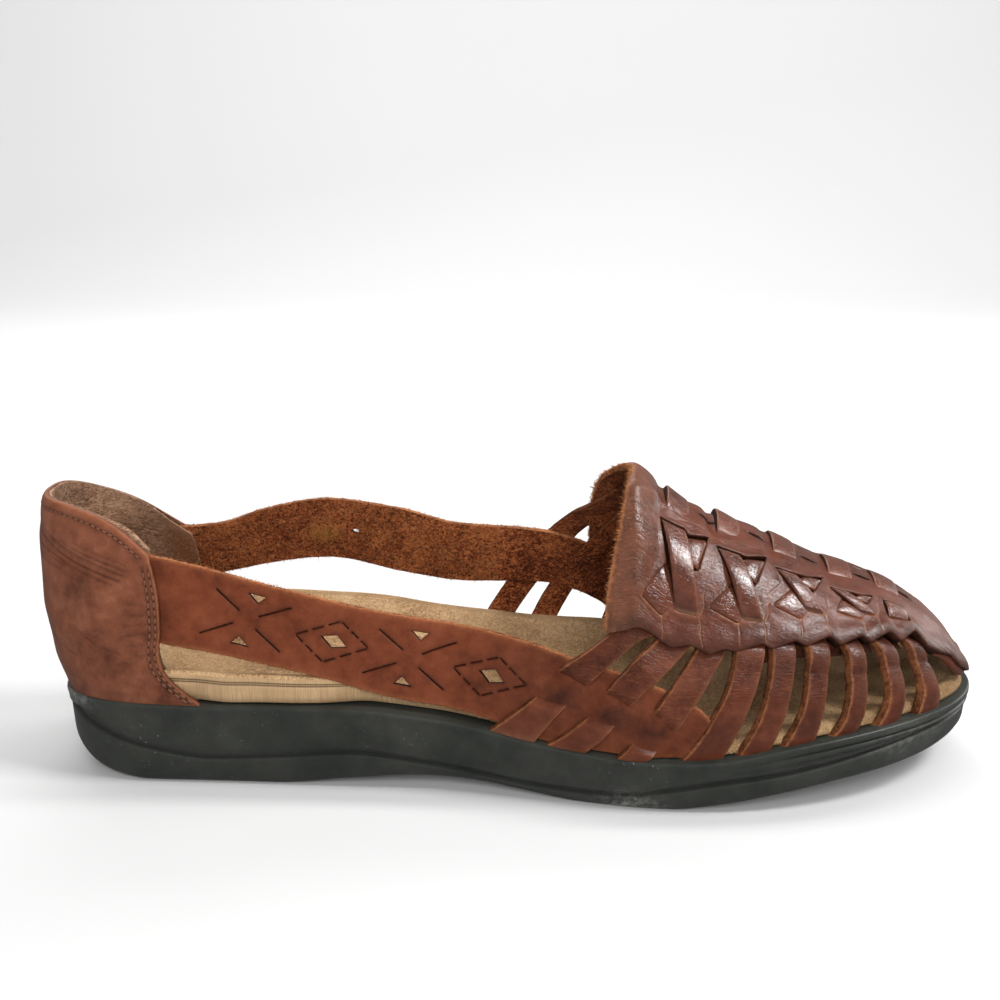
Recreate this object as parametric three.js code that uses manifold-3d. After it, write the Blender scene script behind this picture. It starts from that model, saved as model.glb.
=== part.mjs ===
// Woven leather flat for the right foot: moulded sole, footbed, woven upper with side straps, heel counter.
// While it is built, x runs from the back of the heel to the toe, y towards the inner side of the foot,
// and z up from the floor. All sizes are in millimetres.

import * as THREE from 'three';
import Module from 'manifold-3d';

const wasm = await Module();
wasm.setup();

// Driving sizes
const HEEL = -1.5;
const TOE = 263.6;
const LEATHER = 2.0;
const GAP = 0.3;
const FEATHER_INSET = 2.8;

// Plan outline of the sole: round ends on a centre line that swings to the inner side at the toe
const HEEL_ROUND = 33;
const HEEL_POWER = 2.3;
const TOE_ROUND_FROM = 192;
const TOE_POWER = 2.15;
const OUTLINE = [
  { x: -2, centre: 0, half: 29.5 },
  { x: 40, centre: 0, half: 30 },
  { x: 75, centre: -1.2, half: 29.3 },
  { x: 110, centre: -2.6, half: 28.8 },
  { x: 140, centre: -2.6, half: 33 },
  { x: 170, centre: -1.2, half: 39.5 },
  { x: 196, centre: 1, half: 41.5 },
  { x: 225, centre: 4, half: 41 },
  { x: 265, centre: 9, half: 39.5 },
];

// Sole side: upper edge, lower edge with heel flat, arch, ball flat and toe spring, and the wave step
const SOLE = [
  { x: -2, top: 22.5, bottom: 12, wave: 17.6 },
  { x: 4, top: 23, bottom: 6.2, wave: 16.2 },
  { x: 9, top: 23.8, bottom: 3.4, wave: 14.6 },
  { x: 17, top: 24.2, bottom: 1.2, wave: 12.6 },
  { x: 28, top: 24, bottom: 0, wave: 10.3 },
  { x: 46, top: 23.6, bottom: 0, wave: 8.5 },
  { x: 64, top: 24, bottom: 0, wave: 9.8 },
  { x: 88, top: 24, bottom: 2.3, wave: 11.6 },
  { x: 106, top: 22.4, bottom: 3.8, wave: 8.9 },
  { x: 123, top: 19.8, bottom: 2.9, wave: 5.8 },
  { x: 136, top: 17.3, bottom: 1.4, wave: 4.2 },
  { x: 150, top: 15.6, bottom: 0, wave: 3.6 },
  { x: 163, top: 14.7, bottom: 0, wave: 4 },
  { x: 175, top: 14.6, bottom: 0, wave: 6 },
  { x: 188, top: 15.4, bottom: 1.6, wave: 8.4 },
  { x: 205, top: 18.3, bottom: 4.4, wave: 10.6 },
  { x: 222, top: 20.3, bottom: 6.8, wave: 13 },
  { x: 240, top: 21.5, bottom: 8.4, wave: 15.6 },
  { x: 252, top: 21.8, bottom: 9.8, wave: 17 },
  { x: 265, top: 22, bottom: 12, wave: 17.6 },
];

// Rings of the sole's side, from the tread to the upper edge: a level and a height above it
const SOLE_RINGS = [
  { level: 'bottom', above: 0, inset: 3.6 },
  { level: 'bottom', above: 0.7, inset: 1.9 },
  { level: 'bottom', above: 2.2, inset: 1.2 },
  { level: 'wave', above: -0.6, inset: 0.9 },
  { level: 'wave', above: 0.1, inset: 1.9 },
  { level: 'wave', above: 1.1, inset: 0.9 },
  { level: 'top', above: -3, inset: 0.6 },
  { level: 'top', above: -2.3, inset: 1.1 },
  { level: 'top', above: -1.6, inset: 0 },
  { level: 'top', above: -0.4, inset: 0 },
  { level: 'top', above: 0, inset: 0.5 },
];

// Footbed: on each side its edge's height over the sole's upper edge and inset from the sole's outline,
// and the depth of its hollow between them
const FOOTBED = [
  { x: -2, lateral: 8, medial: 8, lateralInset: 4, medialInset: 4, hollow: 3 },
  { x: 42, lateral: 8, medial: 12, lateralInset: 4, medialInset: 4, hollow: 3.6 },
  { x: 54, lateral: 8, medial: 15.4, lateralInset: 2, medialInset: 2, hollow: 3.6 },
  { x: 68, lateral: 7.6, medial: 15.2, lateralInset: 2, medialInset: 2, hollow: 3.4 },
  { x: 86, lateral: 7.2, medial: 14.9, lateralInset: 6.4, medialInset: 2, hollow: 3.2 },
  { x: 108, lateral: 6.6, medial: 15.3, lateralInset: 6.4, medialInset: 6.2, hollow: 3 },
  { x: 124, lateral: 6.2, medial: 16, lateralInset: 6.2, medialInset: 6.8, hollow: 2.8 },
  { x: 144, lateral: 5, medial: 16.6, lateralInset: 5.8, medialInset: 7.6, hollow: 2.6 },
  { x: 158, lateral: 4.4, medial: 15.6, lateralInset: 5.8, medialInset: 7.6, hollow: 2 },
  { x: 178, lateral: 3.6, medial: 6, lateralInset: 5.8, medialInset: 6.2, hollow: 0.8 },
  { x: 265, lateral: 3, medial: 3, lateralInset: 5.8, medialInset: 5.8, hollow: 0 },
];
const FOOTBED_RINGS = [
  { share: 0, above: 0, inset: 1.2 },
  { share: 0, above: 0.6, inset: 0 },
  { share: 0.55, above: 0, inset: 0.2 },
  { share: 1, above: -0.9, inset: 0.6 },
  { share: 1, above: 0, inset: 1.7 },
];

// Height of the last's ridge over the sole's upper edge, before its nose is rounded
const NOSE = 262.2;
const NOSE_ROUND_FROM = 225;
const RISE = [
  { x: 0, rise: 80 },
  { x: 140, rise: 72 },
  { x: 152, rise: 71 },
  { x: 164, rise: 72 },
  { x: 172, rise: 64.8 },
  { x: 184, rise: 58.5 },
  { x: 196, rise: 52 },
  { x: 207, rise: 45.5 },
  { x: 222, rise: 37.3 },
  { x: 236, rise: 32.4 },
  { x: 249, rise: 29.4 },
  { x: 258, rise: 26.5 },
  { x: 265, rise: 23 },
];

// Behind the instep the walls lean in by lean * height ^ LEAN_POWER, and the heel bulges at its back
const LEAN_POWER = 1.4;
const LEAN_UNTIL = 105;
const ARCH_FROM = 150;
const LEAN = [
  { x: -2, lateral: 0.039, medial: 0.039 },
  { x: 35, lateral: 0.039, medial: 0.036 },
  { x: 75, lateral: 0.045, medial: 0.017 },
  { x: 150, lateral: 0.04, medial: 0.02 },
];
const BACK_POWER = 1.3;
const HEEL_BACK = [
  { height: 0, bulge: 0 },
  { height: 10, bulge: 3.2 },
  { height: 22, bulge: 4.8 },
  { height: 34, bulge: 5.4 },
  { height: 45, bulge: 5.3 },
  { height: 54, bulge: 4 },
  { height: 60, bulge: 2.6 },
];

// Heel counter: collar height along each side, and how far forward its front edge lies at each height
const COLLAR = [
  { x: -1.5, lateral: 79.2, medial: 79.2 },
  { x: 1, lateral: 79.2, medial: 76.8 },
  { x: 4, lateral: 79, medial: 74.4 },
  { x: 9, lateral: 77.6, medial: 71.4 },
  { x: 15, lateral: 75.2, medial: 68.2 },
  { x: 21, lateral: 72, medial: 64.8 },
  { x: 31, lateral: 64.6, medial: 59.5 },
];
const COUNTER_FRONT = [
  { z: 23.5, x: 45 },
  { z: 26, x: 41.4 },
  { z: 29.4, x: 37.4 },
  { z: 33.3, x: 34.4 },
  { z: 38.7, x: 33.3 },
  { z: 44.5, x: 33.8 },
  { z: 52.4, x: 33.4 },
  { z: 60, x: 32 },
  { z: 65.6, x: 30.2 },
];
const COUNTER_OUTER = 2.0;

// Side straps: heights of their edges, from the counter forward until they run down into the sole.
// They sink a little where the vamp and its strips lie over them.
const STRAP_SINK = 0.5;
const LATERAL_STRAP = [
  { x: 24, low: 41.8, high: 65.8 },
  { x: 31, low: 40.9, high: 64.5 },
  { x: 43, low: 39, high: 62.1 },
  { x: 59, low: 36, high: 58 },
  { x: 82, low: 31, high: 52.8 },
  { x: 98, low: 26.9, high: 49.9 },
  { x: 112, low: 24.6, high: 48 },
  { x: 127, low: 21.2, high: 46 },
  { x: 137, low: 17.4, high: 43.9 },
  { x: 148, low: 16.1, high: 40.8 },
  { x: 160, low: 15.1, high: 38 },
  { x: 172, low: 14.9, high: 34 },
  { x: 183, low: 15.4, high: 28 },
  { x: 189, low: 15.8, high: 20 },
];
const MEDIAL_STRAP = [
  { x: 24, low: 45, high: 61 },
  { x: 39, low: 47, high: 62.4 },
  { x: 55, low: 50.6, high: 67.2 },
  { x: 74, low: 53, high: 70.6 },
  { x: 95, low: 49.6, high: 67.8 },
  { x: 114, low: 46.4, high: 63.4 },
  { x: 138, low: 44, high: 61.4 },
  { x: 155, low: 36.5, high: 55 },
  { x: 166, low: 22, high: 46 },
  { x: 174, low: 14.9, high: 38 },
  { x: 187, low: 15.6, high: 25 },
  { x: 194, low: 16.7, high: 19.2 },
];

// Vamp: where the throat edge lies around the section, and the lower edge of its side bands
const THROAT = [
  { angle: 26, x: 156.6 },
  { angle: 38, x: 157.4 },
  { angle: 46, x: 158.6 },
  { angle: 54, x: 160 },
  { angle: 68, x: 162 },
  { angle: 90, x: 164 },
  { angle: 101, x: 160 },
  { angle: 115, x: 155 },
  { angle: 131, x: 152.6 },
  { angle: 154, x: 152 },
];
const BAND_LOW = [
  { x: 152, angle: 26.4 },
  { x: 157, angle: 27.4 },
  { x: 180, angle: 29.8 },
  { x: 200, angle: 33 },
  { x: 220, angle: 38 },
  { x: 236, angle: 43 },
  { x: 241, angle: 45.5 },
  { x: 246, angle: 38 },
  { x: 253, angle: 37 },
  { x: 258, angle: 29 },
  { x: 262, angle: 26 },
];
const TOE_END = 261.6;

// Side strips from the sole up under the bands: their two edges at foot, middle and head, with the angles
// of middle and head. The first ones lie over a strap: through slits in the lateral one, whole on the
// medial one, where they have a course of their own. The next medial ones start further back.
const STRIPS = [
  {
    foot: [124, 138.6],
    middle: [142, 150],
    head: [160.2, 169.8],
    rise: [13.2, 29.5],
    woven: true,
    inner: { foot: [114.5, 122.5], middle: [133.6, 142.4], head: [154.8, 164.4], rise: [27, 54] },
  },
  {
    foot: [139.2, 151],
    middle: [154.5, 161.6],
    head: [170.3, 179],
    rise: [10.3, 29.2],
    woven: true,
    inner: { foot: [129.5, 137], middle: [142.7, 150.6], head: [160.5, 168.6], rise: [23, 46], settles: [0.5, 0.66] },
  },
  {
    foot: [158.6, 167.2],
    middle: [167, 173.4],
    head: [180.8, 188.6],
    rise: [6.4, 30],
    woven: true,
    inner: { foot: [152, 160], middle: [161, 168.4], head: [174, 181.4], rise: [20, 40], settles: [0.48, 0.64] },
  },
  { foot: [175.8, 188], middle: [187.2, 195], head: [191, 198.6], rise: [16, 32.4], back: 5 },
  { foot: [191.7, 200.9], middle: [199.5, 206], head: [200.7, 207.6], rise: [16, 34.2], back: 2 },
  { foot: [203.3, 212.9], middle: [209.9, 215.8], head: [210.2, 217], rise: [15.4, 36.6] },
  { foot: [216.3, 224.4], middle: [221.6, 227.4], head: [220, 226], rise: [14, 38.8] },
  { foot: [229.1, 236.9], middle: [233.1, 238.7], head: [228.3, 234.2], rise: [16.8, 41] },
  { foot: [241.6, 250.2], middle: [243.1, 249], head: [237.2, 241.8], rise: [20, 44.4] },
];
const STRIP_TUCK = 3.5;
const STRIP_SINK = 0.2;
const STRIP_LIFT = 1.3;
const STRIP_SETTLES = [0.8, 0.95];
const UNDER_STRAP = [0.38, 0.58];

// Weave over the side bands: each crossing strip rises from foot to head, with the ends of the strip
// that passes under it showing behind its foot and in front of its head
const CROSSINGS = [
  { foot: 178.4, head: 174.9, width: 6.4, low: 39, high: 69, under: true },
  { foot: 196.1, head: 190.1, width: 5.8, low: 41, high: 66.4, under: true },
  { foot: 213.4, head: 206, width: 5.4, low: 49, high: 65, under: true },
  { foot: 228.9, head: 221, width: 4.4, low: 53, high: 64.4, under: true },
  { foot: 238, head: 237.4, width: 5.8, low: 53.5, high: 64.5, under: false },
];
const OVER_LIFT = 1.5;
const SQUARE_LIFT = 1;
const UNDER_LIFT = 0.7;
const EMBED = 1.1;

// Corners of the lower strip's two ends: x from the foot or head, angle as a share of the crossing's rise
const BEHIND_FOOT = [
  { x: -11.7, share: -0.02 },
  { x: -4.8, share: -0.12 },
  { x: -2, share: 0.06 },
  { x: -5, share: 0.45 },
];
const BEFORE_HEAD = [
  { x: 3, share: 0.64 },
  { x: 7.3, share: 0.52 },
  { x: 10.9, share: 1.06 },
  { x: 4.6, share: 0.94 },
];

// Strip squares that stand proud on the ridge, where the crossing strips come out again
const RIDGE_SQUARES = [177.5, 191, 207, 223, 237];
const SQUARE_HALF = 3.4;
const SQUARE_ANGLES = [75, 105];

// Cut motif of the straps: slashes and triangles round a cross, then a slanted diamond.
// Distances along the strap are in millimetres, heights are shares of the strap's height.
const SLASH_WIDTH = 1;
const CUT_REACH = 1.5;
const MOTIFS = [{ cross: 57.7, diamond: 82.1 }, { cross: 103.3, diamond: 125.7 }];
const SLASHES = [
  { x0: -8.4, s0: 0.79, x1: -2, s1: 0.6 },
  { x0: 3.5, s0: 0.58, x1: 12.6, s1: 0.79 },
  { x0: -13.2, s0: 0.21, x1: -3.7, s1: 0.43 },
  { x0: 2.6, s0: 0.41, x1: 9.2, s1: 0.2 },
];
const TRIANGLES = [
  { x: 3, base: 0.84, tip: 0.74, half: 2.4 },
  { x: -2.1, base: 0.17, tip: 0.275, half: 2.5 },
];
const DIAMOND = [
  { x: -3.5, s: 0.53 },
  { x: -0.9, s: 0.41 },
  { x: 3.5, s: 0.47 },
  { x: 0.9, s: 0.59 },
];

// Mesh densities: outline stations a side, then columns and rows of the wall patches
const STATIONS = 36;
const FOOTBED_COLUMNS = 6;
const COUNTER_GRID = [24, 7];
const STRAP_GRID = [24, 3];
const VAMP_GRID = [18, 18];
const STRIP_ROWS = 6;
const CROSSING_ROWS = 3;
const SQUARE_ROWS = 4;

const clamp = THREE.MathUtils.clamp;
const mix = THREE.MathUtils.lerp;
const blend = THREE.MathUtils.smoothstep;
const radians = THREE.MathUtils.degToRad;
const degrees = THREE.MathUtils.radToDeg;

// Smooth curve through a table's rows that never swings past them
function smooth(table, key, name, at) {
  const last = table.length - 1;
  const where = clamp(at, table[0][key], table[last][key]);
  let i = 0;
  while (i < last - 1 && where > table[i + 1][key]) i += 1;
  const step = (n) => table[n + 1][key] - table[n][key];
  const slope = (n) => (table[n + 1][name] - table[n][name]) / step(n);
  const tangent = (n) => {
    if (n === 0) return slope(0);
    if (n === last) return slope(last - 1);
    const before = slope(n - 1);
    const after = slope(n);
    return before * after > 0 ? (2 * before * after) / (before + after) : 0;
  };
  const t = (where - table[i][key]) / step(i);
  const u = 1 - t;
  const ends = (1 + 2 * t) * u * u * table[i][name] + t * t * (3 - 2 * t) * table[i + 1][name];
  return ends + t * u * step(i) * (u * tangent(i) - t * tangent(i + 1));
}

const along = (table, name, x) => smooth(table, 'x', name, x);

// Plan outline

function endRound(x, toe) {
  const behind = clamp((HEEL + HEEL_ROUND - x) / HEEL_ROUND, 0, 1);
  const before = clamp((x - TOE_ROUND_FROM) / (toe - TOE_ROUND_FROM), 0, 1);
  const heelShare = (1 - behind ** HEEL_POWER) ** (1 / HEEL_POWER);
  return heelShare * (1 - before ** TOE_POWER) ** (1 / TOE_POWER);
}

// Turn 0 is the back of the heel and 1 the toe along the lateral side; negative turns are medial
function outline(turn) {
  const x = mix(HEEL, TOE, (1 - Math.cos(Math.PI * turn)) / 2);
  const side = Math.sin(Math.PI * turn) < 0 ? 1 : -1;
  const y = along(OUTLINE, 'centre', x) + side * along(OUTLINE, 'half', x) * endRound(x, TOE);
  return new THREE.Vector2(x, y);
}

function inward(turn) {
  const nudge = 1e-4;
  const step = outline(turn + nudge).sub(outline(turn - nudge));
  return new THREE.Vector2(-step.y, step.x).normalize();
}

function outlineInset(turn, inset) {
  return outline(turn).addScaledVector(inward(turn), inset);
}

function turnAt(x, medial) {
  const share = (clamp(x, HEEL, TOE) - HEEL) / (TOE - HEEL);
  const turn = Math.acos(1 - 2 * share) / Math.PI;
  return medial ? -turn : turn;
}

// Skin of the last: leaning walls behind the instep, an arch of half ellipses in front of it

const soleTop = (x) => along(SOLE, 'top', x);

function rise(x) {
  const nose = clamp((x - NOSE_ROUND_FROM) / (NOSE - NOSE_ROUND_FROM), 0, 1);
  return along(RISE, 'rise', x) * Math.sqrt(1 - nose * nose);
}

function rearPoint(turn, height, lift) {
  const x = outline(turn).x;
  const side = turn < 0 ? 'medial' : 'lateral';
  const lean = along(LEAN, side, x) * Math.max(height, 0) ** LEAN_POWER;
  const bulge = smooth(HEEL_BACK, 'height', 'bulge', height);
  const back = Math.max(inward(turn).x, 0) ** BACK_POWER;
  return outlineInset(turn, FEATHER_INSET + mix(lean, -bulge, back) - lift);
}

function skin(x, angle) {
  const height = rise(x) * Math.sin(radians(angle));
  const half = (along(OUTLINE, 'half', x) - FEATHER_INSET) * endRound(x, NOSE);
  const y = along(OUTLINE, 'centre', x) - half * Math.cos(radians(angle));
  const arch = new THREE.Vector3(x, y, soleTop(x) + height);
  const front = blend(x, LEAN_UNTIL, ARCH_FROM);
  if (front === 1) return arch;
  const rear = rearPoint(turnAt(x, angle > 90), height, 0);
  return new THREE.Vector3(rear.x, rear.y, soleTop(x) + height).lerp(arch, front);
}

// Point of a surface moved outwards along its normal
function lifted(surface, u, v, lift) {
  const nudge = 0.01;
  const alongU = surface(u + nudge, v).sub(surface(u - nudge, v));
  const alongV = surface(u, v + nudge).sub(surface(u, v - nudge));
  return surface(u, v).addScaledVector(alongU.cross(alongV).normalize(), lift);
}

const angleAt = (x, z, medial) => {
  const angle = degrees(Math.asin(clamp((z - soleTop(x)) / rise(x), 0, 1)));
  return medial ? 180 - angle : angle;
};

// Solids

function signedVolume(points, triangles) {
  return triangles.reduce((sum, [a, b, c]) => sum + points[a].dot(points[b].clone().cross(points[c])), 0);
}

function solid(points, triangles) {
  const flip = signedVolume(points, triangles) < 0;
  const faces = flip ? triangles.map(([a, b, c]) => [a, c, b]) : triangles;
  const vertProperties = new Float32Array(points.flatMap((point) => point.toArray()));
  const triVerts = new Uint32Array(faces.flat());
  return new wasm.Manifold(new wasm.Mesh({ numProp: 3, vertProperties, triVerts }));
}

function quad(a, b, c, d) {
  return [[a, b, c], [a, c, d]];
}

// Closed wall patch: place(s, t, layer) gives its outer points on layer 0 and its inner points on layer 1
function wallPatch(columns, rows, place) {
  const points = [];
  const index = (i, j, layer) => (layer * (columns + 1) + i) * (rows + 1) + j;
  for (let layer = 0; layer < 2; layer += 1) {
    for (let i = 0; i <= columns; i += 1) {
      for (let j = 0; j <= rows; j += 1) points.push(place(i / columns, j / rows, layer));
    }
  }
  const triangles = [];
  for (let i = 0; i < columns; i += 1) {
    for (let j = 0; j < rows; j += 1) {
      const outer = [index(i, j, 0), index(i + 1, j, 0), index(i + 1, j + 1, 0), index(i, j + 1, 0)];
      const inner = [index(i, j, 1), index(i, j + 1, 1), index(i + 1, j + 1, 1), index(i + 1, j, 1)];
      triangles.push(...quad(...outer), ...quad(...inner));
    }
    const low = [index(i, 0, 0), index(i, 0, 1), index(i + 1, 0, 1), index(i + 1, 0, 0)];
    const high = [index(i, rows, 0), index(i + 1, rows, 0), index(i + 1, rows, 1), index(i, rows, 1)];
    triangles.push(...quad(...low), ...quad(...high));
  }
  for (let j = 0; j < rows; j += 1) {
    const from = [index(0, j, 0), index(0, j + 1, 0), index(0, j + 1, 1), index(0, j, 1)];
    const end = columns;
    const to = [index(end, j, 0), index(end, j, 1), index(end, j + 1, 1), index(end, j + 1, 0)];
    triangles.push(...quad(...from), ...quad(...to));
  }
  return solid(points, triangles);
}

// Solid between stacked rings around the plan outline, closed across by rows from side to side
function ringStack(rings, columns, crown) {
  const count = 2 * STATIONS;
  const points = rings.flat();
  const triangles = [];
  for (let r = 0; r < rings.length - 1; r += 1) {
    for (let j = 0; j < count; j += 1) {
      const next = (j + 1) % count;
      const base = r * count;
      triangles.push(...quad(base + j, base + next, base + count + next, base + count + j));
    }
  }
  const cap = (base, cells, shift) => {
    const rows = [[base]];
    for (let j = 1; j < STATIONS; j += 1) {
      const lateral = points[base + j];
      const medial = points[base + count - j];
      const row = [base + j];
      for (let c = 1; c < cells; c += 1) {
        const point = lateral.clone().lerp(medial, c / cells);
        point.z += shift(point.x, c / cells);
        row.push(points.push(point) - 1);
      }
      rows.push([...row, base + count - j]);
    }
    rows.push([base + STATIONS]);
    return rows;
  };
  const close = (rows, turned) => {
    const put = (a, b, c) => triangles.push(turned ? [a, c, b] : [a, b, c]);
    for (let j = 0; j < rows.length - 1; j += 1) {
      const [row, next] = [rows[j], rows[j + 1]];
      for (let c = 0; c < Math.max(row.length, next.length) - 1; c += 1) {
        if (row.length > 1 && next.length > 1) {
          put(row[c], next[c + 1], next[c]);
          put(row[c], row[c + 1], next[c + 1]);
        } else if (row.length > 1) put(row[c], row[c + 1], next[0]);
        else put(row[0], next[c + 1], next[c]);
      }
    }
  };
  close(cap(0, 1, () => 0), false);
  close(cap((rings.length - 1) * count, columns, crown), true);
  return solid(points, triangles);
}

function ring(place) {
  return Array.from({ length: 2 * STATIONS }, (_, j) => {
    const turn = j <= STATIONS ? j / STATIONS : j / STATIONS - 2;
    return place(turn);
  });
}

function makeOutsole() {
  const rings = SOLE_RINGS.map(({ level, above, inset }) => ring((turn) => {
    const plan = outlineInset(turn, inset);
    return new THREE.Vector3(plan.x, plan.y, along(SOLE, level, plan.x) + above);
  }));
  return ringStack(rings, 1, () => 0);
}

function makeFootbed() {
  const rings = FOOTBED_RINGS.map(({ share, above, inset }) => ring((turn) => {
    const x = outline(turn).x;
    const medial = Math.abs(turn) === 1 || turn === 0 ? 0.5 : Number(turn < 0);
    const edge = mix(along(FOOTBED, 'lateral', x), along(FOOTBED, 'medial', x), medial);
    const from = mix(along(FOOTBED, 'lateralInset', x), along(FOOTBED, 'medialInset', x), medial);
    const plan = outlineInset(turn, from + inset);
    return new THREE.Vector3(plan.x, plan.y, soleTop(plan.x) + GAP + share * edge + above);
  }));
  const crown = (x, share) => -along(FOOTBED, 'hollow', x) * 4 * share * (1 - share);
  return ringStack(rings, FOOTBED_COLUMNS, crown);
}

function makeCounter() {
  const collarTurn = turnAt(COLLAR[COLLAR.length - 1].x, false);
  return wallPatch(...COUNTER_GRID, (s, t, layer) => {
    const side = 2 * s - 1;
    const collarX = outline(side * collarTurn).x;
    const collarZ = along(COLLAR, side < 0 ? 'medial' : 'lateral', collarX);
    const level = mix(soleTop(collarX), collarZ, t);
    const turn = side * turnAt(smooth(COUNTER_FRONT, 'z', 'x', level), false);
    const base = soleTop(rearPoint(turn, 0, 0).x);
    const z = mix(base + GAP, collarZ, t);
    const plan = rearPoint(turn, z - base, layer === 0 ? COUNTER_OUTER : GAP);
    return new THREE.Vector3(plan.x, plan.y, z);
  });
}

function strapPoint(table, medial, x, share, depth) {
  const low = Math.max(along(table, 'low', x), soleTop(x) + GAP);
  const z = mix(low, along(table, 'high', x), share);
  const sunk = STRAP_SINK * blend(x, LEAN_UNTIL, ARCH_FROM);
  return lifted(skin, x, angleAt(x, z, medial), -depth - sunk);
}

function makeStrap(table, medial) {
  const first = table[0].x;
  const last = table[table.length - 1].x;
  return wallPatch(...STRAP_GRID, (s, t, layer) => (
    strapPoint(table, medial, mix(first, last, s), t, layer * LEATHER)
  ));
}

// Cutter through a strap with the given corners, each an x and a share of the strap's height
function strapCutter(table, medial, corners) {
  const count = corners.length;
  const layers = [-CUT_REACH, LEATHER + CUT_REACH];
  const points = layers.flatMap((depth) => (
    corners.map(({ x, share }) => strapPoint(table, medial, x, share, depth))
  ));
  const triangles = [];
  for (let i = 0; i < count; i += 1) {
    const next = (i + 1) % count;
    triangles.push(...quad(i, next, count + next, count + i));
  }
  for (let i = 1; i < count - 1; i += 1) {
    triangles.push([0, i + 1, i], [count, count + i, count + i + 1]);
  }
  return solid(points, triangles);
}

function slashCorners(table, cross, { x0, s0, x1, s1 }) {
  const middle = cross + (x0 + x1) / 2;
  const tall = along(table, 'high', middle) - along(table, 'low', middle);
  const across = new THREE.Vector2(x1 - x0, (s1 - s0) * tall).setLength(SLASH_WIDTH / 2);
  const corner = (x, share, way) => (
    { x: cross + x - way * across.y, share: share + (way * across.x) / tall }
  );
  return [corner(x0, s0, -1), corner(x1, s1, -1), corner(x1, s1, 1), corner(x0, s0, 1)];
}

function motifCutters(table, medial) {
  const holes = MOTIFS.flatMap(({ cross, diamond }) => [
    ...SLASHES.map((slash) => slashCorners(table, cross, slash)),
    ...TRIANGLES.map(({ x, base, tip, half }) => [
      { x: cross + x - half, share: base },
      { x: cross + x + half, share: base },
      { x: cross + x, share: tip },
    ]),
    DIAMOND.map(({ x, s }) => ({ x: diamond + x, share: s })),
  ]);
  return holes.map((corners) => strapCutter(table, medial, corners));
}

function makeVamp() {
  const middle = (u) => mix(THROAT[0].x, TOE_END, u);
  return wallPatch(...VAMP_GRID, (s, t, layer) => {
    const low = along(BAND_LOW, 'angle', middle(s));
    const angle = mix(low, 180 - low, t);
    const x = mix(smooth(THROAT, 'angle', 'x', angle), TOE_END, s);
    return lifted(skin, x, angle, -layer * LEATHER);
  });
}

// Raised patch with four corners on the skin, given in order as x and angle
function raisedPatch(columns, rows, corners, lift, medial) {
  const [a, b, c, d] = corners;
  return wallPatch(columns, rows, (s, t, layer) => {
    const x = mix(mix(a.x, b.x, s), mix(d.x, c.x, s), t);
    const angle = mix(mix(a.angle, b.angle, s), mix(d.angle, c.angle, s), t);
    return lifted(skin, x, medial ? 180 - angle : angle, layer === 0 ? lift : -EMBED);
  });
}

// Strip between two shares of its run from foot to head; its edges are parabolas through three points
function makeStripRun(strip, medial, [from, to]) {
  const course = medial && strip.inner ? strip.inner : strip;
  const { foot, middle, head, rise: rises, back = 0, settles = STRIP_SETTLES } = course;
  const { woven = false } = strip;
  const through = (t, a, b, c) => (1 - t) * (1 - 2 * t) * a + 4 * t * (1 - t) * b + t * (2 * t - 1) * c;
  const edge = (t, n) => (
    through(t, foot[n], middle[n], head[n]) - (medial ? back * (1 - t) : 0)
  );
  const [middleAngle, headAngle] = rises;
  const rows = Math.ceil(STRIP_ROWS * (to - from));
  return wallPatch(1, rows, (s, share, layer) => {
    const t = mix(from, to, share);
    const x = mix(edge(t, 0), edge(t, 1), s);
    const lowest = degrees(Math.asin(GAP / rise(x)));
    const angle = Math.max(through(t, lowest, middleAngle, headAngle + STRIP_TUCK), lowest);
    const over = woven ? STRIP_LIFT * (1 - blend(t, ...settles)) : 0;
    const depth = woven ? LEATHER + STRIP_LIFT / 2 : LEATHER;
    return lifted(skin, x, medial ? 180 - angle : angle, over - STRIP_SINK - layer * depth);
  });
}

function makeStrip(strip, medial) {
  const [under, out] = UNDER_STRAP;
  const runs = strip.woven && !medial ? [[0, under], [out, 1]] : [[0, 1]];
  return runs.map((run) => makeStripRun(strip, medial, run));
}

function makeCrossing({ foot, head, width, low, high, under }, medial) {
  const half = width / 2;
  const over = [
    { x: foot - half, angle: low },
    { x: foot + half, angle: low },
    { x: head + half, angle: high },
    { x: head - half, angle: high },
  ];
  const place = (from) => ({ x, share }) => ({ x: from + x, angle: mix(low, high, share) });
  const pieces = [raisedPatch(1, CROSSING_ROWS, over, OVER_LIFT, medial)];
  if (under) {
    pieces.push(raisedPatch(1, 1, BEHIND_FOOT.map(place(foot)), UNDER_LIFT, medial));
    pieces.push(raisedPatch(1, 1, BEFORE_HEAD.map(place(head)), UNDER_LIFT, medial));
  }
  return pieces;
}

function makeRidgeSquare(x) {
  const [from, to] = SQUARE_ANGLES;
  const corners = [
    { x: x - SQUARE_HALF, angle: from },
    { x: x + SQUARE_HALF, angle: from },
    { x: x + SQUARE_HALF, angle: to },
    { x: x - SQUARE_HALF, angle: to },
  ];
  return raisedPatch(1, SQUARE_ROWS, corners, SQUARE_LIFT, false);
}

function makeUpper() {
  let upper = makeVamp();
  const sides = [
    { medial: false, strap: LATERAL_STRAP },
    { medial: true, strap: MEDIAL_STRAP },
  ];
  sides.forEach(({ medial, strap }) => {
    let wall = makeStrap(strap, medial);
    motifCutters(strap, medial).forEach((cutter) => {
      wall = wall.subtract(cutter);
    });
    upper = upper.add(wall);
    STRIPS.forEach((strip) => {
      makeStrip(strip, medial).forEach((piece) => {
        upper = upper.add(piece);
      });
    });
    CROSSINGS.forEach((crossing) => {
      makeCrossing(crossing, medial).forEach((piece) => {
        upper = upper.add(piece);
      });
    });
  });
  RIDGE_SQUARES.forEach((x) => {
    upper = upper.add(makeRidgeSquare(x));
  });
  return upper;
}

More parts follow.
